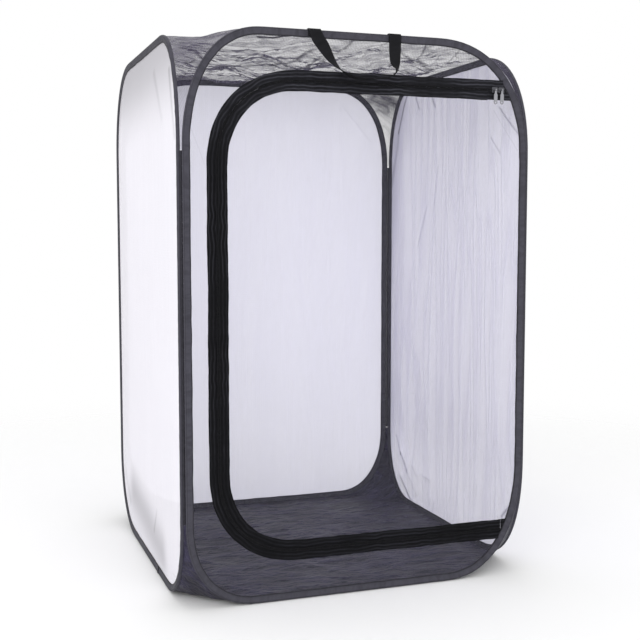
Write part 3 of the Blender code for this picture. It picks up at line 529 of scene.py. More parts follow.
@shared_group("Uneven dye")
def shade_group(name):
    """A colour that drifts between itself and a darker or lighter share of itself."""
    group, given, out = start_group(
        name,
        (("Vector", "Vector"), ("Colour", "Color"), ("Scale", "Float"), ("Amount", "Float")),
        (("Colour", "Color"), ("Mask", "Float")),
    )
    cloud = put(
        group, "ShaderNodeTexNoise",
        [("Vector", given.outputs["Vector"]), ("Scale", given.outputs["Scale"])],
        detail=4.0, roughness=0.6,
    )
    swing = arithmetic(group, "MULTIPLY", arithmetic(group, "SUBTRACT", cloud.outputs["Fac"], 0.5), 2.0)
    level = arithmetic(group, "MULTIPLY_ADD", swing, given.outputs["Amount"], 1.0)
    group.links.new(out.inputs["Colour"], scaled(group, given.outputs["Colour"], level))
    group.links.new(out.inputs["Mask"], cloud.outputs["Fac"])
    return group


@shared_group("Sewn line")
def stitch_group(name):
    """Dashes of a sewn line at plus and minus Row across a strip."""
    group, given, out = start_group(
        name,
        (("Vector", "Vector"), ("Row", "Float"), ("Pitch", "Float"), ("Half Width", "Float")),
        (("Mask", "Float"),),
    )
    parts = put(group, "ShaderNodeSeparateXYZ", [("Vector", given.outputs["Vector"])])
    off = arithmetic(group, "ABSOLUTE", arithmetic(
        group, "SUBTRACT", arithmetic(group, "ABSOLUTE", parts.outputs["Y"]), given.outputs["Row"]
    ))
    inside = arithmetic(group, "LESS_THAN", off, given.outputs["Half Width"])
    turn = arithmetic(group, "FRACT", arithmetic(group, "DIVIDE", parts.outputs["X"], given.outputs["Pitch"]))
    dash = ranged(group, turn, 0.60, 0.72, 1.0, 0.0)
    group.links.new(out.inputs["Mask"], arithmetic(group, "MULTIPLY", inside, dash))
    return group


def use_group(tree, group, links, **values):
    node = tree.nodes.new("ShaderNodeGroup")
    node.node_tree = group
    for name, value in values.items():
        node.inputs[name.replace("_", " ")].default_value = value
    for key, source in links:
        tree.links.new(node.inputs[key], source)
    return node


def start_material(name, colour, roughness, metallic=0.0, sheen=0.0, level=0.5):
    """A material and its tree, shader and Object coordinates."""
    material = bpy.data.materials.new(name)
    material.use_nodes = True
    tree = material.node_tree
    shader = tree.nodes["Principled BSDF"]
    shader.inputs["Base Color"].default_value = (*colour, 1)
    shader.inputs["Roughness"].default_value = roughness
    shader.inputs["Metallic"].default_value = metallic
    shader.inputs["Sheen Weight"].default_value = sheen
    shader.inputs["Specular IOR Level"].default_value = level
    material.diffuse_color = (*colour, 1)
    place = tree.nodes.new("ShaderNodeTexCoord").outputs["Object"]
    return material, tree, shader, place


def add_bump(tree, shader, height, distance):
    bump = put(tree, "ShaderNodeBump", [("Height", height)], distance=distance, strength=1.0)
    tree.links.new(shader.inputs["Normal"], bump.outputs["Normal"])


def dye(tree, shader, place, colour, scale, amount):
    """Feeds the shader's colour from the uneven dye. Returns the group's node."""
    node = use_group(
        tree, shade_group(), [("Vector", place)], Colour=(*colour, 1), Scale=scale, Amount=amount
    )
    tree.links.new(shader.inputs["Base Color"], node.outputs["Colour"])
    return node


def folded(tree, place, plane, folds):
    """The painted shade of all the folds and shaded zones of a net, which lies in the plane; a negative
    darkness is painted light.
    """
    flat = vector_maths(tree, "MULTIPLY", place, plane).outputs["Vector"]
    shade = None
    for start, end, width, darkness in folds:
        line = use_group(tree, shade_line_group(), [("Vector", flat)], Start=start, End=end, Width=width)
        parts = (line.outputs["Mask"], darkness)
        shade = arithmetic(tree, "MULTIPLY_ADD", *parts, 0.0 if shade is None else shade)
    return shade


@shared_material
def net_material(name, colour, turn, plane, alpha, folds, streaks, crease, moire, fade=None):
    """An open net. Turn lays its plane in X and Y, and alpha is (holes, threads). Its folds make it hide
    more, and carry painted shade and painted light in its colour.
    """
    material, tree, shader, place = start_material(name, colour, 0.85, level=0.15)
    flat = stretched(tree, place, turn=turn)
    pitch = settings("nets").pitch
    threads = use_group(tree, net_group(), [("Vector", flat)], Pitch=pitch)
    coarse = use_group(tree, net_group(), [("Vector", flat)], Pitch=pitch * 3.4)
    drift = dye(tree, shader, flat, colour, 5.0, 0.03)
    streaked = stretched(tree, flat, streaks)
    creased = use_group(tree, crease_group(), [("Vector", streaked)], Scale=6.0, Sharpness=6.0)
    creases = creased.outputs["Height"]
    shade = folded(tree, place, plane, folds)
    cover = ranged(tree, threads.outputs["Threads"], 0.0, 1.0, alpha[0], alpha[1], smooth=False)
    cover = arithmetic(tree, "MULTIPLY_ADD", coarse.outputs["Threads"], moire, cover)
    cover = arithmetic(tree, "MULTIPLY_ADD", creases, crease, cover)
    if fade:
        low, high, least = fade
        height = put(tree, "ShaderNodeSeparateXYZ", [("Vector", place)]).outputs["Z"]
        cover = arithmetic(tree, "MULTIPLY", cover, ranged(tree, height, low, high, least, 1.0))
    cover = arithmetic(tree, "MULTIPLY_ADD", shade, 0.6, cover)
    clamped = put(tree, "ShaderNodeClamp", [("Value", cover)])
    tree.links.new(shader.inputs["Alpha"], clamped.outputs["Result"])
    # Painted shade: the net's colour is darker along its folds and shaded zones, and painted lighter where
    # their darkness is negative
    left = arithmetic(tree, "MULTIPLY_ADD", shade, -0.8, 1.0)
    tree.links.new(shader.inputs["Base Color"], scaled(tree, drift.outputs["Colour"], left))
    height = arithmetic(tree, "MULTIPLY_ADD", creases, crease * 5, shade)
    height = arithmetic(tree, "MULTIPLY_ADD", threads.outputs["Height"], 0.10, height)
    add_bump(tree, shader, height, 0.0015)
    return material


def edge_light(tree, across, light, bead, rise, hem):
    """A painted highlight on the rounded edge of a folded tape, painted shadow in a band beside it, and
    painted shade along its hem.
    """
    light = arithmetic(tree, "ADD", light, ranged(tree, across, bead, bead * 1.4, rise, 0.0))
    painted_ridge_shadow = ranged(tree, across, bead * 1.3, bead * 1.8, 0.55, 1.0)
    painted_hem_shade = ranged(tree, across, hem, hem + 0.0016, 1.0, 0.40)
    return arithmetic(tree, "MULTIPLY", light, arithmetic(tree, "MULTIPLY", painted_ridge_shadow, painted_hem_shade))


def rib_wave(tree, along, across, random_patches, spacing):
    """Ribs that run along a tape and wander a little, and fade in random patches; they give it bumps and
    painted sheen lines.
    """
    slow = stretched(tree, along, (1.0, 0.1, 1.0))
    wander = put(tree, "ShaderNodeTexNoise", [("Vector", slow)], scale=24.0, detail=2.0)
    angle = arithmetic(tree, "MULTIPLY", across, 2 * math.pi / spacing)
    angle = arithmetic(tree, "MULTIPLY_ADD", wander.outputs["Fac"], 12.0, angle)
    wave = arithmetic(tree, "MULTIPLY_ADD", arithmetic(tree, "SINE", angle), 0.5, 0.5)
    wave = arithmetic(tree, "POWER", wave, 3.0)
    return arithmetic(tree, "MULTIPLY", wave, ranged(tree, random_patches, 0.36, 0.62, 0.25, 1.2))


@shared_material
def tape_material(
    name, colour, roughness, pitch, rows, wrinkle=0.6, thread=None, bead=None, painted_sheen_ribs=None, level=0.14
):
    """Woven tape whose weave and sewn rows follow its own UV map.

    Bead is where its rounded edge ends, how strong its painted highlight is, and where the painted
    shade of its hem starts. The rib setting gives the spacing of its ribs and the strength of their
    painted sheen lines; with it the tape is also painted lighter on its high runs, as painted light."""
    material, tree, shader, place = start_material(name, colour, roughness, sheen=0.01, level=level)
    along = put(tree, "ShaderNodeUVMap", uv_map=UV_NAME).outputs["UV"]
    weave = use_group(tree, weave_group(), [("Vector", along)], Pitch=pitch, Rib=0.35)
    drift = dye(tree, shader, place, colour, 9.0, 0.22)
    streaked = stretched(tree, along, (1.0, 0.35, 1.0))
    folds = use_group(tree, crease_group(), [("Vector", streaked)], Scale=70.0, Sharpness=3.0)
    height = arithmetic(tree, "MULTIPLY", folds.outputs["Height"], wrinkle)
    height = arithmetic(tree, "MULTIPLY_ADD", weave.outputs["Height"], 0.30, height)
    across = put(tree, "ShaderNodeSeparateXYZ", [("Vector", along)]).outputs["Y"]
    across = arithmetic(tree, "ABSOLUTE", across)
    # Painted highlight: the colour is lighter on the ridges of the tape's creases
    light = arithmetic(tree, "MULTIPLY_ADD", folds.outputs["Height"], 0.5, 0.8)
    if bead:
        light = edge_light(tree, across, light, *bead)
    if painted_sheen_ribs:
        spacing, rise = painted_sheen_ribs
        wave = rib_wave(tree, along, across, drift.outputs["Mask"], spacing)
        # Painted sheen: light lines along the ribs
        light = arithmetic(tree, "MULTIPLY_ADD", wave, rise, light)
        height = arithmetic(tree, "MULTIPLY_ADD", wave, 0.8, height)
        # Painted light: the tape is painted up to 2.3 times lighter on its high runs, where the lamps light
        # it more
        up = put(tree, "ShaderNodeSeparateXYZ", [("Vector", place)]).outputs["Z"]
        light = arithmetic(tree, "MULTIPLY", light, ranged(tree, up, 0.68, 0.83, 1.0, 2.3))
    toned = scaled(tree, drift.outputs["Colour"], light)
    for row in rows:
        sewn = use_group(tree, stitch_group(), [("Vector", along)], Row=row, Pitch=0.0032, Half_Width=0.0003)
        mixed = put(tree, "ShaderNodeMix", data_type="RGBA")
        tree.links.new(mixed.inputs["Factor"], sewn.outputs["Mask"])
        tree.links.new(mixed.inputs["A"], toned)
        mixed.inputs["B"].default_value = (*(thread or colour), 1)
        toned = mixed.outputs["Result"]
        height = arithmetic(tree, "MULTIPLY_ADD", sewn.outputs["Mask"], 0.7, height)
    tree.links.new(shader.inputs["Base Color"], toned)
    rough = ranged(tree, drift.outputs["Mask"], 0.3, 0.7, roughness - 0.06, roughness + 0.08)
    tree.links.new(shader.inputs["Roughness"], rough)
    add_bump(tree, shader, height, 0.00035)
    return material


@shared_material
def floor_material(name, colour):
    """Crinkled nylon cloth, painted lighter along its creases as painted highlights."""
    material, tree, shader, place = start_material(name, colour, 0.46, sheen=0.02, level=0.25)
    weave = use_group(tree, weave_group(), [("Vector", place)], Pitch=0.0007, Rib=0.0)
    drift = dye(tree, shader, place, colour, 7.0, 0.16)
    long = stretched(tree, place, (0.55, 1.9, 1.0), (0, 0, math.radians(14)))
    coarse = use_group(tree, crease_group(), [("Vector", long)], Scale=13.0, Sharpness=9.0)
    fine = use_group(tree, crease_group(), [("Vector", long)], Scale=46.0, Sharpness=6.0)
    # Painted highlight: the colour is lighter along the coarse and fine creases
    light = arithmetic(tree, "MULTIPLY_ADD", coarse.outputs["Height"], 1.9, 0.65)
    light = arithmetic(tree, "MULTIPLY_ADD", fine.outputs["Height"], 0.5, light)
    tree.links.new(shader.inputs["Base Color"], scaled(tree, drift.outputs["Colour"], light))
    height = arithmetic(tree, "MULTIPLY_ADD", fine.outputs["Height"], 0.35, coarse.outputs["Height"])
    height = arithmetic(tree, "MULTIPLY_ADD", weave.outputs["Height"], 0.03, height)
    rough = ranged(tree, drift.outputs["Mask"], 0.3, 0.7, 0.42, 0.56)
    tree.links.new(shader.inputs["Roughness"], rough)
    add_bump(tree, shader, height, 0.0040)
    return material


@shared_material
def metal_material(name, colour, roughness):
    """Metal with fine scratches and duller hollows."""
    material, tree, shader, place = start_material(name, colour, roughness, metallic=1.0)
    drift = dye(tree, shader, place, colour, 260.0, 0.10)
    brushed = stretched(tree, place, (1.0, 1.0, 0.15))
    scratch = use_group(tree, crease_group(), [("Vector", brushed)], Scale=900.0, Sharpness=2.0)
    rough = ranged(tree, drift.outputs["Mask"], 0.3, 0.75, roughness, roughness + 0.18)
    rough = arithmetic(tree, "MULTIPLY_ADD", scratch.outputs["Height"], 0.06, rough)
    tree.links.new(shader.inputs["Roughness"], rough)
    add_bump(tree, shader, scratch.outputs["Height"], 0.00002)
    return material


@shared_material
def coil_material(name, colour):
    """Moulded nylon of the zip's coil, lighter where it is rubbed."""
    material, tree, shader, place = start_material(name, colour, 0.55, level=0.16)
    drift = dye(tree, shader, place, colour, 120.0, 0.5)
    rough = ranged(tree, drift.outputs["Mask"], 0.3, 0.7, 0.46, 0.64)
    tree.links.new(shader.inputs["Roughness"], rough)
    grain = use_group(tree, crease_group(), [("Vector", place)], Scale=1500.0, Sharpness=2.0)
    add_bump(tree, shader, grain.outputs["Height"], 0.00003)
    return material


def give(obj, material):
    obj.data.materials.clear()
    obj.data.materials.append(material)
    return obj


# Paths on a wall


def wall_point(wall, across, up, out):
    """World point of a wall's own coordinates: across it, up it, and out from its inner face."""
    yaw, setback = WALLS[wall][:2]
    return Matrix.Rotation(yaw, 3, "Z") @ Vector((across, -setback - out, up))


def corner_unit(step, steps):
    angle = math.pi / 2 * step / steps
    power = 2 / settings("hoops").corner_power
    return max(math.cos(angle), 0) ** power, max(math.sin(angle), 0) ** power


def corner_sizes(corner):
    """(top run, top drop, foot run, foot rise) of a corner."""
    hoops = settings("hoops")
    lengths = (hoops.corner_run, hoops.corner_drop, hoops.corner_run, hoops.corner_drop)
    return [length * share for length, share in zip(lengths, CORNER_SHARES[corner])]


def rounded_corner(centre_x, centre_y, run, drop, quarter, steps=20):
    """Points of one rounded corner, anticlockwise. Quarter 0 is the corner at +X and +Y."""
    points = []
    for step in range(steps + 1):
        across, up = corner_unit(step if quarter % 2 == 0 else steps - step, steps)
        sign_x = 1 if quarter in (0, 3) else -1
        sign_y = 1 if quarter in (0, 1) else -1
        points.append((centre_x + sign_x * run * across, centre_y + sign_y * drop * up))
    return points


def hoop_outline(wall):
    """The middle line of the wall's hoop, anticlockwise from the foot at the plus end."""
    hoops = settings("hoops")
    half_width, minus_corner, plus_corner = WALLS[wall][2:5]
    half = half_width - hoops.setback
    low = CAGE_FOOT + hoops.nose
    high = CAGE_HEIGHT - hoops.nose
    run, drop, foot_run, foot_rise = corner_sizes(plus_corner)
    points = rounded_corner(half - foot_run, low + foot_rise, foot_run, foot_rise, 3)
    points += rounded_corner(half - run, high - drop, run, drop, 0)
    run, drop, foot_run, foot_rise = corner_sizes(minus_corner)
    points += rounded_corner(run - half, high - drop, run, drop, 1)
    points += rounded_corner(foot_run - half, low + foot_rise, foot_run, foot_rise, 2)
    return points


def running_lengths(points, closed=False):
    lengths = [0.0]
    for start, end in zip(points, points[1:] + points[:1] if closed else points[1:]):
        lengths.append(lengths[-1] + (Vector(end) - Vector(start)).length)
    return lengths


def evenly(points, spacing, closed=False):
    """The same path with its points spaced evenly along it."""
    ends = points + points[:1] if closed else points
    lengths = running_lengths(ends)
    count = max(round(lengths[-1] / spacing), 2)
    even = []
    index = 0
    for step in range(count if closed else count + 1):
        place = lengths[-1] * step / count
        while index < len(ends) - 2 and lengths[index + 1] < place:
            index += 1
        span = max(lengths[index + 1] - lengths[index], 1e-12)
        share = (place - lengths[index]) / span
        even.append(tuple(Vector(ends[index]).lerp(Vector(ends[index + 1]), share)))
    return even


def side_vectors(points, closed):
    """At each point of a flat path, the unit vector to its right."""
    count = len(points)
    vectors = []
    for index in range(count):
        before = points[(index - 1) % count] if closed or index else points[0]
        after = points[(index + 1) % count] if closed or index < count - 1 else points[-1]
        step = Vector(after) - Vector(before)
        vectors.append(Vector((step.y, -step.x)).normalized())
    return vectors


def offset_path(points, distance, closed):
    """The path moved to its right by distance. Right is outwards on an anticlockwise outline."""
    return [
        tuple(Vector(point) + side * distance)
        for point, side in zip(points, side_vectors(points, closed))
    ]


def net_edge(wall):
    """The edge of the wall's net, inside its binding."""
    hoops = settings("hoops")
    inset = hoops.binding_width - hoops.nose - settings("nets").tuck
    return offset_path(evenly(hoop_outline(wall), EDGE_SPACING, True), -inset, True)


def inner_edge(wall, gap=0.0003):
    """The inner edge of the wall's binding."""
    hoops = settings("hoops")
    inset = hoops.binding_width - hoops.nose + gap
    return offset_path(evenly(hoop_outline(wall), EDGE_SPACING, True), -inset, True)


def span_at(outline, up):
    """(lowest, highest) place across where a closed outline crosses a height."""
    crossings = []
    for (x0, y0), (x1, y1) in zip(outline, outline[1:] + outline[:1]):
        if (y0 <= up) != (y1 <= up):
            crossings.append(x0 + (x1 - x0) * (up - y0) / (y1 - y0))
    return min(crossings), max(crossings)


def smooth_share(value):
    value = min(max(value, 0.0), 1.0)
    return value * value * (3 - 2 * value)


# Making pieces


def finish_piece(name, bm, material, body, smooth_angle=math.radians(40)):
    """Turns a bmesh into a named, shaded piece that rides on a body."""
    mesh = bpy.data.meshes.new(name)
    bm.to_mesh(mesh)
    bm.free()
    obj = bpy.data.objects.new(name, mesh)
    bpy.context.collection.objects.link(obj)
    mesh.shade_smooth()
    mesh.set_sharp_from_angle(angle=smooth_angle)
    give(obj, material)
    if body:
        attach(obj, body)
    return obj


def skin(rows, lengths, closed=False, wrap=None):
    """A closed skin over rows of (point, place across), and its UV map of lengths and places, in metres.

    Closed rows meet end to end. Wrap is the place where a row comes back to its first point."""
    bm = bmesh.new()
    uv = bm.loops.layers.uv.new(UV_NAME)
    verts = [[bm.verts.new(point) for point, _ in row] for row in rows]
    count = len(rows[0])
    for i in range(len(rows) if closed else len(rows) - 1):
        first, second = verts[i], verts[(i + 1) % len(rows)]
        for k in range(count):
            after = (k + 1) % count
            face = bm.faces.new((first[k], first[after], second[after], second[k]))
            near = rows[i][k][1]
            far = rows[i][after][1] if after or wrap is None else wrap
            marks = ((lengths[i], near), (lengths[i], far), (lengths[i + 1], far), (lengths[i + 1], near))
            for loop, mark in zip(face.loops, marks):
                loop[uv].uv = mark
    if not closed:
        bm.faces.new(verts[0])
        bm.faces.new(reversed(verts[-1]))
    bmesh.ops.recalc_face_normals(bm, faces=bm.faces)
    return bm


def sweep(wall, path, section, closed, waver=None):
    """Carries a section of (side, out, across) points along a path on a wall, into a closed bmesh."""
    half = settings("hoops").binding_half
    lengths = running_lengths(path, closed)
    rows = []
    for point, side, length in zip(path, side_vectors(path, closed), lengths):
        row = []
        for aside, out, across in section:
            if waver:
                more_aside, more_out = waver(length, aside, out, point)
                aside += more_aside
                out += more_out
            place = wall_point(wall, point[0] + side.x * aside, point[1] + side.y * aside, half + out)
            row.append((place, across))
        rows.append(row)
    return skin(rows, lengths, closed)


def join_rows(bm, rows):
    """Faces between neighbouring rows, as far along as both of them reach."""
    for lower, upper in zip(rows, rows[1:]):
        for k in range(min(len(lower), len(upper)) - 1):
            bm.faces.new((lower[k], lower[k + 1], upper[k + 1], upper[k]))


def crowded(step, steps):
    """A share from 0 to 1, whose steps are closest together at both ends."""
    return 0.5 - 0.5 * math.cos(math.pi * step / steps)


# Bindings


def binding_section():
    """The folded tape in section: a bead round the hoop, and two cheeks down to the inner edge."""
    hoops = settings("hoops")
    edge = hoops.binding_width - hoops.nose
    half = hoops.binding_half
    nose = hoops.nose
    tape = hoops.tape
    outer = [
        (nose, half * 0.22), (nose * 0.86, half * 0.64), (nose * 0.46, half * 0.92), (-nose * 0.30, half),
        (-nose * 1.20, half * 0.86), (-edge * 0.42, half * 0.60), (-edge * 0.68, half * 0.44),
        (-edge * 0.92, half * 0.385), (-edge, half * 0.30),
    ]
    inner = [
        (-edge, half * 0.19), (-edge * 0.68, half * 0.44 - tape), (-edge * 0.42, half * 0.60 - tape),
        (-nose * 1.10, half * 0.86 - tape), (-nose * 0.30, half - tape), (nose * 0.40, half * 0.66),
        (nose - tape, half * 0.20),
    ]
    half_ring = [(s, o, nose - s + half * 0.5) for s, o in outer] + [(s, o, nose - s) for s, o in inner]
    back = [(s, -o, -v) for s, o, v in reversed(half_ring)]
    return half_ring + back


def binding_waver(seed):
    hoops = settings("hoops")
    edge = hoops.binding_width - hoops.nose

    def waver(length, aside, out, point):
        """Looser towards the inner edge, and puckered where the hoop bends."""
        loose = smooth_share((hoops.nose - aside) / (edge + hoops.nose))
        bend = smooth_share((abs(point[1] - CAGE_HEIGHT / 2) / CAGE_HEIGHT - 0.26) / 0.10)
        place = Vector((length * 38, seed * 7.3, 0.4))
        drift = noise.noise(place) * 0.0007
        pucker = noise.noise(Vector((length * 150, seed * 3.1, aside * 60))) * (0.00018 + 0.00038 * bend)
        sign = 1 if out > 0 else -1
        lift = noise.noise(Vector((length * 60, seed * 5.7, sign * 3.0))) * 0.00035
        return loose * drift, sign * loose * (pucker + lift * 0.5)

    return waver


class SewBindings(bpy.types.Operator):
    """Sew a folded tape round each of the four hoops"""

    bl_idname = "cage.sew_bindings"
    bl_label = "Sew bindings"

    def execute(self, context):
        hoops = settings("hoops")
        for seed, (wall, facts) in enumerate(WALLS.items()):
            # The bead setting gives the binding a painted highlight on its rounded edge, with painted shade
            # beside it and along its hem
            material = tape_material(
                "Binding tape", hoops.colour, 0.6, 0.00055, (0.0118,), thread=(0.05, 0.048, 0.06),
                bead=(0.0026, 1.1, 0.0116),
            )
            path = evenly(hoop_outline(wall), TAPE_SPACING, True)
            bm = sweep(wall, path, binding_section(), True, binding_waver(seed))
            tape = finish_piece(f"binding_{wall}", bm, material, facts[5])
            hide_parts(f"{wall}_binding")
        self.lap()
        return {"FINISHED"}

    def lap(self):
        """A near-black band at the lap of the left binding's tape, on its foot: a painted shadow of the gap
        where its ends overlap.
        """
        low = CAGE_FOOT + settings("hoops").nose
        steps = 3
        path = [(LAP_START + LAP_LENGTH * step / steps, low) for step in range(steps + 1)]
        section = [(s * 1.04, o * 1.2 + math.copysign(0.0004, o), v) for s, o, v in binding_section()]
        bm = sweep("left", path, section, False)
        material = tape_material("Bar tack", (0.008, 0.008, 0.010), 0.7, 0.0006, (), level=0.08)
        finish_piece("binding_left_lap_shadow", bm, material, "left_wall")


# Nets of the walls


def crease_lift(folds, across, up):
    """How far a net's folds lift it at a place."""
    lift = 0.0
    for x0, y0, x1, y1, width, darkness in folds:
        if width > WIDEST_LIFTED_FOLD:
            continue
        run = Vector((x1 - x0, y1 - y0))
        along = min(max(Vector((across - x0, up - y0)).dot(run) / run.length_squared, 0), 1)
        away = (Vector((across, up)) - Vector((x0, y0)) - run * along).length / (0.004 + width * 2)
        if away < 3:
            lift += 0.006 * darkness * math.exp(-away * away)
    return lift


def net_lift(wall, across, up, edge_share, bulge):
    """The net's distance out of its plane: a slight bulge, ripples, and its folds."""
    seed = list(WALLS).index(wall) * 11.7
    slow = noise.noise(Vector((across * 5, up * 3.2, seed)))
    strings = noise.noise(Vector((across * 34, up * 3.0, seed + 4)))
    inward = -1 if wall in ("right", "back") else 1
    folds = inward * crease_lift(NET_FOLDS_AND_SHADE[wall], across, up)
    return edge_share * (bulge + 0.0022 * slow + 0.0005 * strings + folds)


def wall_net_mesh(wall, bulge):
    """A net from edge to edge of a wall, as rows of cells between the two sides of its binding."""
    nets = settings("nets")
    outline = net_edge(wall)
    low = min(y for _, y in outline) + 1e-5
    high = max(y for _, y in outline) - 1e-5
    bm = bmesh.new()
    rows = []
    for j in range(nets.rows + 1):
        up = low + (high - low) * crowded(j, nets.rows)
        left, right = span_at(outline, up)
        row = []
        for i in range(nets.columns + 1):
            across = left + (right - left) * i / nets.columns
            rim = min(across - left, right - across, up - low, high - up)
            lift = net_lift(wall, across, up, smooth_share((rim - 0.006) / 0.05), bulge)
            row.append(bm.verts.new(wall_point(wall, across, up, settings("hoops").binding_half + lift)))
        rows.append(row)
    join_rows(bm, rows)
    return bm


# A wall's net lies along X or along Y: the turn that lays it flat, its own plane, and its streaks
ALONG_X = ((math.pi / 2, 0, 0), (1, 0, 1), (5.0, 0.4, 1.0))
ALONG_Y = ((0, math.pi / 2, 0), (0, 1, 1), (0.4, 5.0, 1.0))
NET_PLANES = {"front": ALONG_X, "back": ALONG_X, "left": ALONG_Y, "right": ALONG_Y}
# Each wall's share of the net's colour, where it isn't 1: painted light and shade, which makes the
# same net lighter on the left and back walls and darker on the front
NET_PAINTED_LIGHT = {"left": (1.08, 1.08, 0.97), "front": (0.42, 0.42, 0.44), "back": (1.03, 1.03, 1.05)}
# How much the holes and the threads of each wall's net hide, and its creases add
NET_ALPHAS = {
    "front": (0.02, 0.06, 0.0),
    "back": (0.53, 0.69, 0.03),
    "left": (0.84, 0.95, 0.02),
    "right": (0.62, 0.78, 0.16),
}


def wall_net_material(wall):
    turn, plane, streaks = NET_PLANES[wall]
    colour = [c * t for c, t in zip(settings("nets").wall_colour, NET_PAINTED_LIGHT.get(wall, (1, 1, 1)))]
    holes, threads, crease = NET_ALPHAS[wall]
    flat = Vector(plane)
    folds = [
        (wall_point(wall, x0, y0, 0) * flat, wall_point(wall, x1, y1, 0) * flat, width, darkness)
        for x0, y0, x1, y1, width, darkness in NET_FOLDS_AND_SHADE[wall]
    ]
    return net_material(
        f"Net {wall}", colour, turn, plane, (holes, threads), folds, streaks,
        crease=crease, moire=(threads - holes) / 6,
    )


class HangWallNets(bpy.types.Operator):
    """Hang the white nets of the back, left and right walls"""

    bl_idname = "cage.hang_wall_nets"
    bl_label = "Hang wall nets"

    def execute(self, context):
        for wall, bulge in (("back", -0.0012), ("left", 0.0015), ("right", -0.0012)):
            bm = wall_net_mesh(wall, bulge)
            net = finish_piece(f"net_{wall}", bm, wall_net_material(wall), WALLS[wall][5])
            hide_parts(f"{wall}_mesh")
        return {"FINISHED"}


# Front net and door


def chain_path(start_x, end_x):
    """The zip's chain: from start_x on the foot run, clockwise up the left side, to end_x on top."""
    zips = settings("zip")
    left = zips.side_margin - CAD_BOX[1][0] + zips.corner
    high = CAGE_HEIGHT - zips.top_margin
    low = zips.foot_margin
    foot = rounded_corner(left, low + zips.corner, zips.corner, zips.corner, 2)
    top = rounded_corner(left, high - zips.corner, zips.corner, zips.corner, 1)
    return [(start_x, low)] + foot[::-1] + top[::-1] + [(end_x, high)]


def zip_top():
    return CAGE_HEIGHT - settings("zip").top_margin


def zip_end_start():
    return DOOR_HINGE - settings("zip").end_length


def door_outline(margin, hinge, end, low):
    """The D of the door, drawn margin inside the chain, with a notch under the zip's closed end."""
    outline = offset_path(evenly(chain_path(hinge, end), EDGE_SPACING), margin, False)
    outline[0] = (hinge, outline[0][1])
    outline[-1] = (end, zip_top() - margin)
    return outline + [(end, low), (hinge, low)]


def front_hole():
    """The opening in the front net: the D, the sliders' slot and the notch."""
    hinge = DOOR_HINGE + DOOR_GAP
    start = zip_end_start()
    under = zip_top() - NET_MARGIN
    low = zip_top() - NOTCH_DEPTH
    hole = offset_path(evenly(chain_path(hinge, start), EDGE_SPACING), -NET_MARGIN, False)
    hole[0] = (hinge, hole[0][1])
    hole[-1] = (DOOR_HINGE, zip_top() + NET_MARGIN)
    return hole + [(DOOR_HINGE, under), (start, under), (start, low), (hinge, low)]


def ray_to(outline, centre, toward):
    """Where a ray from centre through a point leaves a closed outline."""
    way = Vector(toward) - Vector(centre)
    best = None
    for start, end in zip(outline, outline[1:] + outline[:1]):
        edge = Vector(end) - Vector(start)
        cross = way.cross(edge)
        if abs(cross) < 1e-12:
            continue
        between = Vector(start) - Vector(centre)
        along = between.cross(edge) / cross
        place = between.cross(way) / cross
        if along > 0 and -1e-9 <= place <= 1 + 1e-9 and (best is None or along > best):
            best = along
    return Vector(centre) + way * best


class HangFrontNet(bpy.types.Operator):
    """Hang the front net round the door, and the door's own net"""

    bl_idname = "cage.hang_front_net"
    bl_label = "Hang front and door nets"

    def execute(self, context):
        half = settings("hoops").binding_half
        outline = net_edge("front")
        hole = front_hole()
        dense = []
        for start, end in zip(hole, hole[1:] + hole[:1]):
            steps = max(round((Vector(end) - Vector(start)).length / TAPE_SPACING), 1)
            dense += [tuple(Vector(start).lerp(Vector(end), k / steps)) for k in range(steps)]
        bm = bmesh.new()
        layers = 8
        rings = []
        for point in dense:
            rim = ray_to(outline, RING_CENTRE, point)
            ring = []
            for k in range(layers + 1):
                place = Vector(point).lerp(rim, k / layers)
                inside = smooth_share(min(k, layers - k) / 3)
                lift = net_lift("front", place.x, place.y, inside * 0.6, 0.0)
                ring.append(bm.verts.new(wall_point("front", place.x, place.y, half + lift)))
            rings.append(ring)
        join_rows(bm, rings + rings[:1])
        bmesh.ops.recalc_face_normals(bm, faces=bm.faces)
        material = wall_net_material("front")
        net = finish_piece("net_front", bm, material, "front_wall")
        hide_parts("front_mesh")
        door = self.door_net(material)
        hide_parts("door_mesh")
        return {"FINISHED"}

    def door_net(self, material):
        """Rows between the zip and the hinge, which stop short above the notch."""
        half = settings("hoops").binding_half
        hinge = DOOR_HINGE - DOOR_GAP
        end = zip_end_start() - DOOR_GAP
        notch = zip_top() - NOTCH_DEPTH - DOOR_GAP
        outline = door_outline(NET_MARGIN, hinge, end, notch)
        low = min(y for _, y in outline) + 1e-5
        high = zip_top() - NET_MARGIN
        wide, narrow = 60, 6
        tall, short = 110, 6
        heights = [low + (notch - low) * crowded(j, tall) for j in range(tall + 1)]
        heights += [notch + (high - notch - 1e-5) * j / short for j in range(1, short + 1)]
        bm = bmesh.new()
        rows = []
        for up in heights:
            left = span_at(outline, min(up, notch - 1e-5) if up <= notch else up)[0]
            row = []
            for i in range(wide + narrow + 1):
                if i <= wide:
                    across = left + (end - left) * i / wide
                elif up <= notch + 1e-9:
                    across = end + (hinge - end) * (i - wide) / narrow
                else:
                    continue
                rim = min(across - left, hinge - across, up - low, high - up)
                lift = net_lift("front", across, up, smooth_share((rim - 0.004) / 0.06), 0.0)
                row.append(bm.verts.new(wall_point("front", across, up, half + lift)))
            rows.append(row)
        join_rows(bm, rows)
        return finish_piece("net_door", bm, material, "door")


# Top and floor


def corner_fall(share):
    """How far the hoop has dropped, as a share of its drop, at a share of the way into its corner."""
    power = settings("hoops").corner_power
    inside = 1 - min(max(share, 0), 1) ** power
    return 1 - inside ** (1 / power)


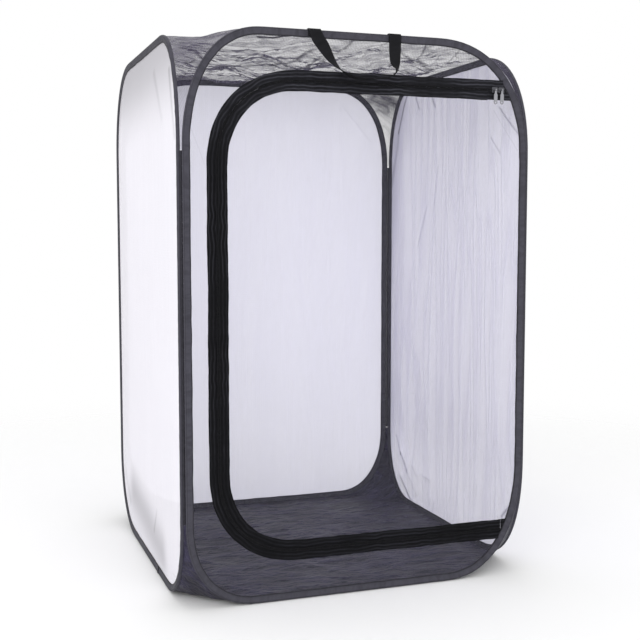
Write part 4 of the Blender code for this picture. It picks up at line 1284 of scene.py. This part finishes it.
def side_places(first_run, second_run, edge, corner_steps, middle_steps):
    """Places along one side of the cloth, from -edge to +edge, closest together in its corners."""
    shares = [1 - corner_unit(k, corner_steps)[0] for k in range(corner_steps + 1)]
    first = [-edge + first_run * share for share in shares]
    second = [edge - second_run * share for share in shares]
    span = second[-1] - first[-1]
    middle = [first[-1] + span * k / middle_steps for k in range(1, middle_steps)]
    return first + middle + second[::-1]


def crossing(a, b, c, d):
    """Where the line from a to b meets the line from c to d, in plan."""
    first = Vector(b) - Vector(a)
    second = Vector(d) - Vector(c)
    along = (Vector(c) - Vector(a)).cross(second) / first.cross(second)
    return Vector(a) + first * along


def cloth_plan(runs, edge_x, edge_y, steps):
    """A grid of plan points whose lines join the opposite sides' places."""
    front = side_places(runs["front_left"], runs["front_right"], edge_x, *steps)
    back = side_places(runs["back_left"], runs["back_right"], edge_x, *steps)
    left = side_places(runs["front_left"], runs["back_left"], edge_y, *steps)
    right = side_places(runs["front_right"], runs["back_right"], edge_y, *steps)
    rows = []
    for low, high in zip(left, right):
        ends = ((-edge_x, low), (edge_x, high))
        rows.append([crossing((a, -edge_y), (b, edge_y), *ends) for a, b in zip(front, back)])
    return rows


def ear_depth(point, runs, drops, beyond):
    """How far the cloth's ears reach from its flat middle, at a plan point.

    On each wall the cloth's edge follows the hoop's middle line, and beyond is how far the cloth
    reaches past the hoops' own width."""
    setback = settings("hoops").setback
    depth = 0
    for corner, (pivot_x, pivot_y) in CORNERS.items():
        across = 1 - (PIVOT_X - setback - math.copysign(point.x, point.x * pivot_x)) / runs[corner]
        along = 1 - (PIVOT_Y - setback - math.copysign(point.y, point.y * pivot_y)) / runs[corner]
        depth += drops[corner] * corner_fall(across + along - 1 - beyond / runs[corner])
    return depth


def fold_wave(point, folds):
    """The cloth's main folds at a plan point, as a share of their height up or down."""
    height = 0
    for heading, spacing, share, phase in folds:
        turn = 2 * math.pi * heading
        across = (point.x * math.cos(turn) + point.y * math.sin(turn)) / (spacing * CAGE_WIDTH)
        height += share * math.sin(2 * math.pi * (across + phase))
    return height


def ridge(point, turn, long, short, seed):
    """A sharp wrinkle pattern, from 0 to 1, drawn out along a heading."""
    along = point.x * math.cos(turn) + point.y * math.sin(turn)
    across = point.y * math.cos(turn) - point.x * math.sin(turn)
    value = noise.noise(Vector((along / long, across / short, seed)))
    return (1 - min(abs(value) * 2.2, 1)) ** 2


def wrinkles(point, rows):
    """The height of all the sharp wrinkles in a table at a plan point."""
    return sum(height * ridge(point, *facts) for height, *facts in rows)


def cloth_grid(runs_index, height_at):
    """A fine grid over the plan of the cage, with its heights given by a function.

    Runs_index is where a corner's run stands in corner_sizes: 0 at the top, and 2 at the foot."""
    tuck = 0.0016
    edge_x = PIVOT_X + tuck
    edge_y = PIVOT_Y + tuck
    beyond = settings("hoops").setback + tuck
    runs = {corner: corner_sizes(corner)[runs_index] for corner in CORNERS}
    drops = {corner: corner_sizes(corner)[runs_index + 1] for corner in CORNERS}
    rows = cloth_plan({corner: run + beyond for corner, run in runs.items()}, edge_x, edge_y, (24, 48))
    bm = bmesh.new()
    grid = []
    for row in rows:
        line = []
        for point in row:
            ear = ear_depth(point, runs, drops, beyond)
            rim = min(edge_x - abs(point.x), edge_y - abs(point.y))
            middle = max((1 - (point.x / edge_x) ** 2) * (1 - (point.y / edge_y) ** 2), 0)
            line.append(bm.verts.new((point.x, point.y, height_at(point, ear, rim, middle))))
        grid.append(line)
    for low, high in zip(grid, grid[1:]):
        for k in range(len(low) - 1):
            corners = [low[k], low[k + 1], high[k + 1], high[k]]
            if (corners[0].co.x + corners[2].co.x) * (corners[0].co.y + corners[2].co.y) > 0:
                corners = corners[1:] + corners[:1]
            bm.faces.new(corners[:3])
            bm.faces.new((corners[0], corners[2], corners[3]))
    return bm


class HangTopNet(bpy.types.Operator):
    """Hang the dark net of the top, with its ears between the hoops"""

    bl_idname = "cage.hang_top_net"
    bl_label = "Hang top net"

    def execute(self, context):
        nets = settings("nets")
        high = CAGE_HEIGHT - settings("hoops").nose

        def height_at(point, ear, rim, middle):
            fold = nets.fold * math.sqrt(middle) * fold_wave(point, TOP_FOLDS)
            loose = smooth_share(rim / 0.09)
            return high - ear - nets.sag * middle + fold - loose * wrinkles(point, TOP_WRINKLES)

        bm = cloth_grid(0, height_at)
        folds = [
            ((x0, y0, 0), (x1, y1, 0), width, darkness) for x0, y0, x1, y1, width, darkness in TOP_CREASES_AND_SHADE
        ]
        material = net_material(
            "Net top", nets.top_colour, (0, 0, math.radians(28)), (1, 1, 0), (0.24, 0.52), folds,
            (1.5, 5.4, 1.0), crease=0.34, moire=0.10, fade=(0.80, 0.90, 0.42),
        )
        net = finish_piece("net_top", bm, material, "back_wall", math.radians(60))
        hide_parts("top_mesh")
        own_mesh(net)
        return {"FINISHED"}


class LayFloorCloth(bpy.types.Operator):
    """Lay the nylon floor cloth, with its ears up the four corners"""

    bl_idname = "cage.lay_floor_cloth"
    bl_label = "Lay floor cloth"

    def execute(self, context):
        floor = settings("floor")
        low = CAGE_FOOT + settings("hoops").nose

        def height_at(point, ear, rim, middle):
            lift = max(1 - rim / 0.030, 0) ** 2
            fold = floor.fold * math.sqrt(middle) * max(fold_wave(point, FLOOR_FOLDS), 0)
            loose = smooth_share(rim / 0.02)
            return low * lift + ear + fold + loose * wrinkles(point, FLOOR_WRINKLES) + floor.thickness

        bm = cloth_grid(2, height_at)
        material = floor_material("Floor nylon", floor.colour)
        cloth = finish_piece("cloth_floor", bm, material, None, math.radians(60))
        thick = cloth.modifiers.new("thickness", "SOLIDIFY")
        thick.thickness = floor.thickness
        thick.offset = -1
        apply_modifier(cloth, thick)
        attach(cloth, "back_wall")
        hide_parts("floor_cloth")
        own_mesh(cloth)
        return {"FINISHED"}


def apply_modifier(obj, modifier):
    """Applies a modifier as by hand, with nothing else selected."""
    bpy.ops.object.select_all(action="DESELECT")
    obj.select_set(True)
    bpy.context.view_layer.objects.active = obj
    bpy.ops.object.modifier_apply(modifier=modifier.name)


# Corner seams


class SewCornerSeams(bpy.types.Operator):
    """Sew the overlocked seams that join neighbouring bindings"""

    bl_idname = "cage.sew_corner_seams"
    bl_label = "Sew corner seams"

    def execute(self, context):
        material = tape_material("Overlock thread", (0.022, 0.021, 0.027), 0.7, 0.0005, (), wrinkle=0.2)
        for corner, body in SEAM_BODIES.items():
            low, high = (point.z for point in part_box(f"{corner}_seam"))
            bm = self.thread_rope(CORNERS[corner], low, high)
            seam = finish_piece(f"seam_{corner}", bm, material, body)
            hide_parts(f"{corner}_seam")
        return {"FINISHED"}

    def thread_rope(self, place, low, high):
        """A round seam with the bumps of its overlock stitches."""
        count = round((high - low) / STITCH_LENGTH)
        rows = []
        for j in range(count + 1):
            radius = SEAM_RADII[j % 2]
            row = []
            for k in range(SEAM_SIDES):
                turn = 2 * math.pi * k / SEAM_SIDES + STITCH_TWIST * j
                around = (place[0] + radius * math.cos(turn), place[1] + radius * math.sin(turn))
                row.append(((*around, low + STITCH_LENGTH * j), SEAM_FACE * k))
            rows.append(row)
        lengths = [STITCH_LENGTH * j for j in range(count + 1)]
        return skin(rows, lengths, wrap=SEAM_FACE * SEAM_SIDES)


# Zip


def tape_section(side):
    """Half of the zip's tape in section, with the lengthwise ridges of its weave.

    Side is 1 for the half inside the D, and -1 for the half outside it."""
    back = 0.00055
    front = back + 0.0006
    near = 0.00006
    far = 0.0009 + settings("zip").tape_width
    ridge_height = 0.0005
    hem = 0.001
    ridge_shares = (
        (0.00, 0.0), (0.17, 0.0), (0.22, 0.35), (0.30, 0.45), (0.38, 0.05), (0.52, 0.0),
        (0.60, 0.30), (0.70, 0.35), (0.78, 0.0), (0.90, 0.05), (0.95, 0.35), (1.00, 0.10),
    )
    face = []
    for place, height in ridge_shares:
        across = near + (far - near) * place
        face.append((across, front + ridge_height * height, across))
    under = [(far, back, far + hem), (near, back, near - hem)]
    return [(side * s, o, v) for s, o, v in face + under]


def zip_waver(seed):
    def waver(length, aside, out, point):
        """The tape's free edge lifts and wanders a little."""
        edge = smooth_share((abs(aside) - 0.004) / 0.012)
        lift = noise.noise(Vector((length * 22, seed, 0.0))) + 0.4
        front = 1.0 if out > 0.0006 else 0.0
        wander = 0.0007 * noise.noise(Vector((length * 46, seed, 4.0)))
        wander += 0.0012 * noise.noise(Vector((length * 11, seed, 7.0)))
        return edge * wander, front * edge * 0.0010 * max(lift, 0)

    return waver


class SewZip(bpy.types.Operator):
    """Sew the zip: its tapes, and the coil on each of them"""

    bl_idname = "cage.sew_zip"
    bl_label = "Sew zip"

    def execute(self, context):
        hinge_gap = 0.0004
        end_gap = 0.0001
        start = zip_end_start()
        top = zip_top()
        edge = inner_edge("front")
        foot = settings("zip").foot_margin
        top_end = span_at(edge, top)[1]
        foot_end = span_at(edge, foot)[1]
        halves = (
            ("frame", -1, chain_path(foot_end, top_end), "front_wall", (True, True)),
            ("door", 1, chain_path(DOOR_HINGE - hinge_gap, start - end_gap), "door", (False, False)),
            ("closed_end", 1, [(start + end_gap, top), (top_end, top)], "front_wall", (False, True)),
        )
        # The rib setting gives the zip tape painted sheen lines, and makes it painted lighter on its top run
        material = tape_material(
            "Zip tape", settings("zip").colour, 0.60, 0.0006, (0.0132,), wrinkle=0.70,
            thread=(0.012, 0.012, 0.014), painted_sheen_ribs=(0.0058, 3.6), level=0.045,
        )
        foot_path = [(foot_end, foot), (DOOR_HINGE + hinge_gap, foot)]
        foot_strip = self.tape(
            "zip_tape_foot_end", 1, foot_path, "front_wall", (True, False), material, 4, edge
        )
        for seed, (name, side, path, body, cuts) in enumerate(halves):
            tape = self.tape(f"zip_tape_{name}", side, path, body, cuts, material, seed, edge)
            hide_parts(f"{name}_zip_tape")
            coil = self.coil(f"zip_coil_{name}", side, path, body)
            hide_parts(f"{name}_zip_coil")
        return {"FINISHED"}

    def tape(self, name, side, path, body, cuts, material, seed, edge):
        """A length of half the tape. A cut end is trimmed to the inner edge of the front binding."""
        even = evenly(path, TAPE_SPACING)
        bm = sweep("front", even, tape_section(side), False, zip_waver(seed * 9.1))
        for cut, wanted in zip(cuts, (even[0], even[-1])):
            if not cut:
                continue
            for vert in bm.verts:
                if abs(vert.co.x - wanted[0]) < END_REACH and abs(vert.co.z - wanted[1]) < TAPE_REACH:
                    vert.co.x = span_at(edge, vert.co.z)[1]
        return finish_piece(name, bm, material, body)

    def coil(self, name, side, path, body):
        """One rounded turn of the coil, modelled once and copied along the chain."""
        tooth = self.tooth()
        places = evenly(path, settings("zip").tooth_pitch)
        half = settings("hoops").binding_half
        out = wall_point("front", 0, 0, 1) - wall_point("front", 0, 0, 0)
        reach = side * COIL_SETBACK
        bm = bmesh.new()
        for point, aside in list(zip(places, side_vectors(places, False)))[1:-1]:
            centre = wall_point("front", point[0] + aside.x * reach, point[1] + aside.y * reach, half)
            across = Vector((aside.x, 0, aside.y))
            turn = Matrix((across.cross(out), across, out)).transposed().to_4x4()
            self.copy_in(bm, tooth, Matrix.Translation(centre) @ turn)
        bpy.data.objects.remove(tooth)
        material = coil_material("Zip coil", (0.006, 0.006, 0.0075))
        return finish_piece(name, bm, material, body, math.radians(50))

    def copy_in(self, bm, source, matrix):
        first = len(bm.verts)
        bm.from_mesh(source.data)
        bm.verts.ensure_lookup_table()
        bmesh.ops.transform(bm, matrix=matrix, verts=bm.verts[first:])

    def tooth(self):
        """A turn of the coil: a short bar across the chain, with its edges rounded."""
        bpy.ops.object.select_all(action="DESELECT")
        bpy.ops.mesh.primitive_cube_add(size=1, location=(0, 0, 0))
        tooth = bpy.context.active_object
        bpy.ops.object.mode_set(mode="EDIT")
        bpy.ops.mesh.select_all(action="SELECT")
        bpy.ops.transform.resize(value=TOOTH_SIZE)
        bpy.ops.transform.translate(value=(0, 0, TOOTH_HEIGHT))
        bpy.ops.mesh.bevel(offset=TOOTH_ROUNDING, offset_type="OFFSET", segments=1)
        bpy.ops.object.mode_set(mode="OBJECT")
        return tooth


class FinishMetal(bpy.types.Operator):
    """Give the sliders, the pull tabs, the hoops and their sleeves their metals"""

    bl_idname = "cage.finish_metal"
    bl_label = "Finish metal parts"

    def execute(self, context):
        cast = metal_material("Cast metal", (0.085, 0.085, 0.095), 0.30)
        plated = metal_material("Plated metal", (0.26, 0.26, 0.28), 0.26)
        steel = metal_material("Spring steel", (0.40, 0.41, 0.44), 0.38)
        for side in ("left", "right"):
            give(frame["nodes"][f"slider_{side}"], cast)
            give(frame["nodes"][f"pull_{side}"], plated)
        for wall in WALLS:
            give(frame["nodes"][f"{wall}_hoop"], steel)
            give(frame["nodes"][f"{wall}_hoop_sleeve"], steel)
        return {"FINISHED"}


# Carry loop


def smooth_path(points, steps):
    """Rows of numbers on a smooth curve through the given rows."""
    rows = [points[0]] + list(points) + [points[-1]]
    smooth = []
    for before, start, end, after in zip(rows, rows[1:], rows[2:], rows[3:]):
        for step in range(steps):
            t = step / steps
            smooth.append([
                (2 * b + (c - a) * t + (2 * a - 5 * b + 4 * c - d) * t**2
                 + (3 * b - a - 3 * c + d) * t**3) / 2
                for a, b, c, d in zip(before, start, end, after)
            ])
    return smooth + [list(points[-1])]


class SewCarryLoop(bpy.types.Operator):
    """Sew the webbing carry loop and its two ends to the front top edge"""

    bl_idname = "cage.sew_carry_loop"
    bl_label = "Sew carry loop"

    def execute(self, context):
        webbing = settings("webbing")
        material = tape_material(
            "Webbing", webbing.colour, 0.62, 0.0011, (0.0084,), wrinkle=0.15, thread=(0.014, 0.014, 0.017),
            level=0.08,
        )
        loop = self.loft_piece("webbing_loop", self.loop_rings(), material, "loop")
        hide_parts("carry_loop")
        for side, across in (("left", webbing.left), ("right", webbing.right)):
            end = self.loft_piece(f"webbing_end_{side}", self.end_rings(across), material, "front_wall")
            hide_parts(f"carry_loop_end_{side}")
        return {"FINISHED"}

    def section(self, centre, edge, face):
        """A flat band in section, with rounded edges. Each point has its place across the band."""
        webbing = settings("webbing")
        half = webbing.width / 2
        thin = webbing.thickness / 2
        shares = (-1.0, -0.985, -0.93, -0.60, -0.20, 0.20, 0.60, 0.93, 0.985, 1.0)
        heights = (0.35, 0.85, 1.0, 1.0, 1.0, 1.0, 1.0, 1.0, 0.85, 0.35)
        upper = [(share * half, thin * height) for share, height in zip(shares, heights)]
        ring = [(centre + edge * across + face * height, across) for across, height in upper]
        ring += [(centre + edge * across - face * height, across) for across, height in reversed(upper)]
        return ring

    def loop_rings(self):
        webbing = settings("webbing")
        axis = HINGES["carry_loop_swing"]
        spread = webbing.right - webbing.left
        route = []
        for across, down, out, turn in LOOP_ROUTE:
            route.append((
                webbing.left + spread * across, axis.y - webbing.stand_off * out,
                axis.z - webbing.drop * down, math.pi / 2 * turn,
            ))
        steps = 12
        route = smooth_path(route, steps)
        rings = []
        for index, (x, y, z, turn) in enumerate(route):
            before = Vector(route[max(index - 1, 0)][:3])
            after = Vector(route[min(index + 1, len(route) - 1)][:3])
            run = (after - before).normalized()
            slant = Vector((-run.z, 0, run.x)).normalized()
            if slant.x < 0:
                slant.negate()
            clear = min(index, len(route) - 1 - index) / steps
            flat = Vector((1, 0, 0)).lerp(slant, min(clear, 1)).normalized()
            edge = flat * math.cos(turn) + Vector((0, 1, 0)) * math.sin(turn)
            rings.append(self.section(Vector((x, y, z)), edge, run.cross(edge).normalized()))
        return rings

    def end_rings(self, across):
        """From the top net's seam, over the front binding, and down its front."""
        webbing = settings("webbing")
        thin = webbing.thickness / 2
        low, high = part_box("carry_loop_end_left")
        near = low.y + thin
        far = high.y - thin
        lid = high.z - thin
        turn = 0.0016
        profile = [(far, high.z - 0.0035), (far, lid - turn)]
        profile += [(far - turn * (1 - math.cos(a)), lid - turn * (1 - math.sin(a))) for a in (0.5, 1.05)]
        profile += [(far - turn, lid), ((near + far) / 2, lid), (near + turn, lid)]
        profile += [(near + turn * (1 - math.sin(a)), lid - turn * (1 - math.cos(a))) for a in (0.5, 1.05)]
        profile += [(near, lid - turn), (near, lid - 0.005), (near, low.z + 0.0001)]
        rings = []
        for index, (y, z) in enumerate(profile):
            before = Vector(profile[max(index - 1, 0)])
            after = Vector(profile[min(index + 1, len(profile) - 1)])
            run = (after - before).normalized()
            face = Vector((0, run.y, -run.x))
            rings.append(self.section(Vector((across, y, z)), Vector((1, 0, 0)), face))
        return rings

    def loft_piece(self, name, rings, material, body):
        middles = [sum((point for point, _ in ring), Vector()) / len(ring) for ring in rings]
        return finish_piece(name, skin(rings, running_lengths(middles)), material, body)


# Stage


class SetStage(bpy.types.Operator):
    """Set the pale floor, the soft lights, the white surround and the camera"""

    bl_idname = "cage.set_stage"
    bl_label = "Set stage"

    def execute(self, context):
        self.floor()
        self.surround()
        for name, (place, size, share) in SOFTBOXES.items():
            self.softbox(name, place, size, settings("stage").key * share)
        self.camera()
        bpy.context.scene.view_settings.view_transform = "Standard"
        return {"FINISHED"}

    def floor(self):
        bpy.ops.object.select_all(action="DESELECT")
        bpy.ops.mesh.primitive_plane_add(size=14, location=(0, 0, -0.0004))
        floor = bpy.context.active_object
        floor.name = "stage_floor"
        material, tree, shader, place = start_material("Stage floor", (0.87, 0.87, 0.87), 0.9, level=0.1)
        away = vector_maths(tree, "LENGTH", place).outputs["Value"]
        tree.links.new(shader.inputs["Alpha"], ranged(tree, away, 0.7, 2.0, 1.0, 0.0))
        give(floor, material)

    def surround(self):
        world = bpy.data.worlds.new("Surround")
        bpy.context.scene.world = world
        world.use_nodes = True
        tree = world.node_tree
        background = tree.nodes["Background"]
        path = tree.nodes.new("ShaderNodeLightPath")
        seen = arithmetic(tree, "MAXIMUM", path.outputs["Is Camera Ray"], path.outputs["Is Glossy Ray"])
        seen = arithmetic(tree, "MAXIMUM", seen, path.outputs["Is Transmission Ray"])
        ambient = settings("stage").ambient
        strength = arithmetic(tree, "MULTIPLY_ADD", seen, 1.0 - ambient, ambient)
        background.inputs["Color"].default_value = (1, 1, 1, 1)
        tree.links.new(background.inputs["Strength"], strength)

    def softbox(self, name, place, size, power):
        lamp = bpy.data.lights.new(name, "AREA")
        lamp.shape = "SQUARE"
        lamp.size = size
        lamp.energy = power
        obj = bpy.data.objects.new(name, lamp)
        bpy.context.collection.objects.link(obj)
        obj.location = place
        aim = Vector((0, 0, 0.45)) - Vector(place)
        obj.rotation_euler = aim.to_track_quat("-Z", "Y").to_euler()

    def camera(self):
        stage = settings("stage")
        lens = bpy.data.cameras.new("photo_camera")
        lens.lens = stage.lens
        lens.sensor_width = 36
        camera = bpy.data.objects.new("photo_camera", lens)
        bpy.context.collection.objects.link(camera)
        camera.location = stage.eye
        camera.rotation_euler = (math.pi / 2 - stage.pitch, 0, -stage.heading)
        bpy.context.scene.camera = camera


# Panel and registration

OPERATORS = (
    SewBindings,
    HangWallNets,
    HangFrontNet,
    HangTopNet,
    LayFloorCloth,
    SewCornerSeams,
    SewZip,
    FinishMetal,
    SewCarryLoop,
    SetStage,
)
GROUPS = {
    "hoops": HoopSettings,
    "nets": NetSettings,
    "floor": FloorSettings,
    "zip": ZipSettings,
    "webbing": WebbingSettings,
    "stage": StageSettings,
}


class CAGE_PT_pieces(bpy.types.Panel):
    """The cage's pieces and their settings"""

    bl_label = "Butterfly cage"
    bl_idname = "CAGE_PT_pieces"
    bl_space_type = "VIEW_3D"
    bl_region_type = "UI"
    bl_category = "Cage"

    def draw(self, context):
        for operator in OPERATORS:
            self.layout.operator(operator.bl_idname)
        for name, group in GROUPS.items():
            box = self.layout.box()
            box.label(text=name.capitalize())
            for prop in group.__annotations__:
                box.prop(settings(name), prop)


def register():
    for name, group in GROUPS.items():
        bpy.utils.register_class(group)
        setattr(bpy.types.Scene, "cage_" + name, PointerProperty(type=group))
    for operator in OPERATORS:
        bpy.utils.register_class(operator)
    bpy.utils.register_class(CAGE_PT_pieces)


def unregister():
    bpy.utils.unregister_class(CAGE_PT_pieces)
    for operator in reversed(OPERATORS):
        bpy.utils.unregister_class(operator)
    for name, group in reversed(GROUPS.items()):
        delattr(bpy.types.Scene, "cage_" + name)
        bpy.utils.unregister_class(group)


def main():
    register()
    bpy.ops.cage.sew_bindings()
    bpy.ops.cage.hang_wall_nets()
    bpy.ops.cage.sew_zip()
    bpy.ops.cage.hang_front_net()
    bpy.ops.cage.hang_top_net()
    bpy.ops.cage.lay_floor_cloth()
    bpy.ops.cage.sew_corner_seams()
    bpy.ops.cage.finish_metal()
    bpy.ops.cage.sew_carry_loop()
    bpy.ops.cage.set_stage()


if __name__ == "__main__":
    main()
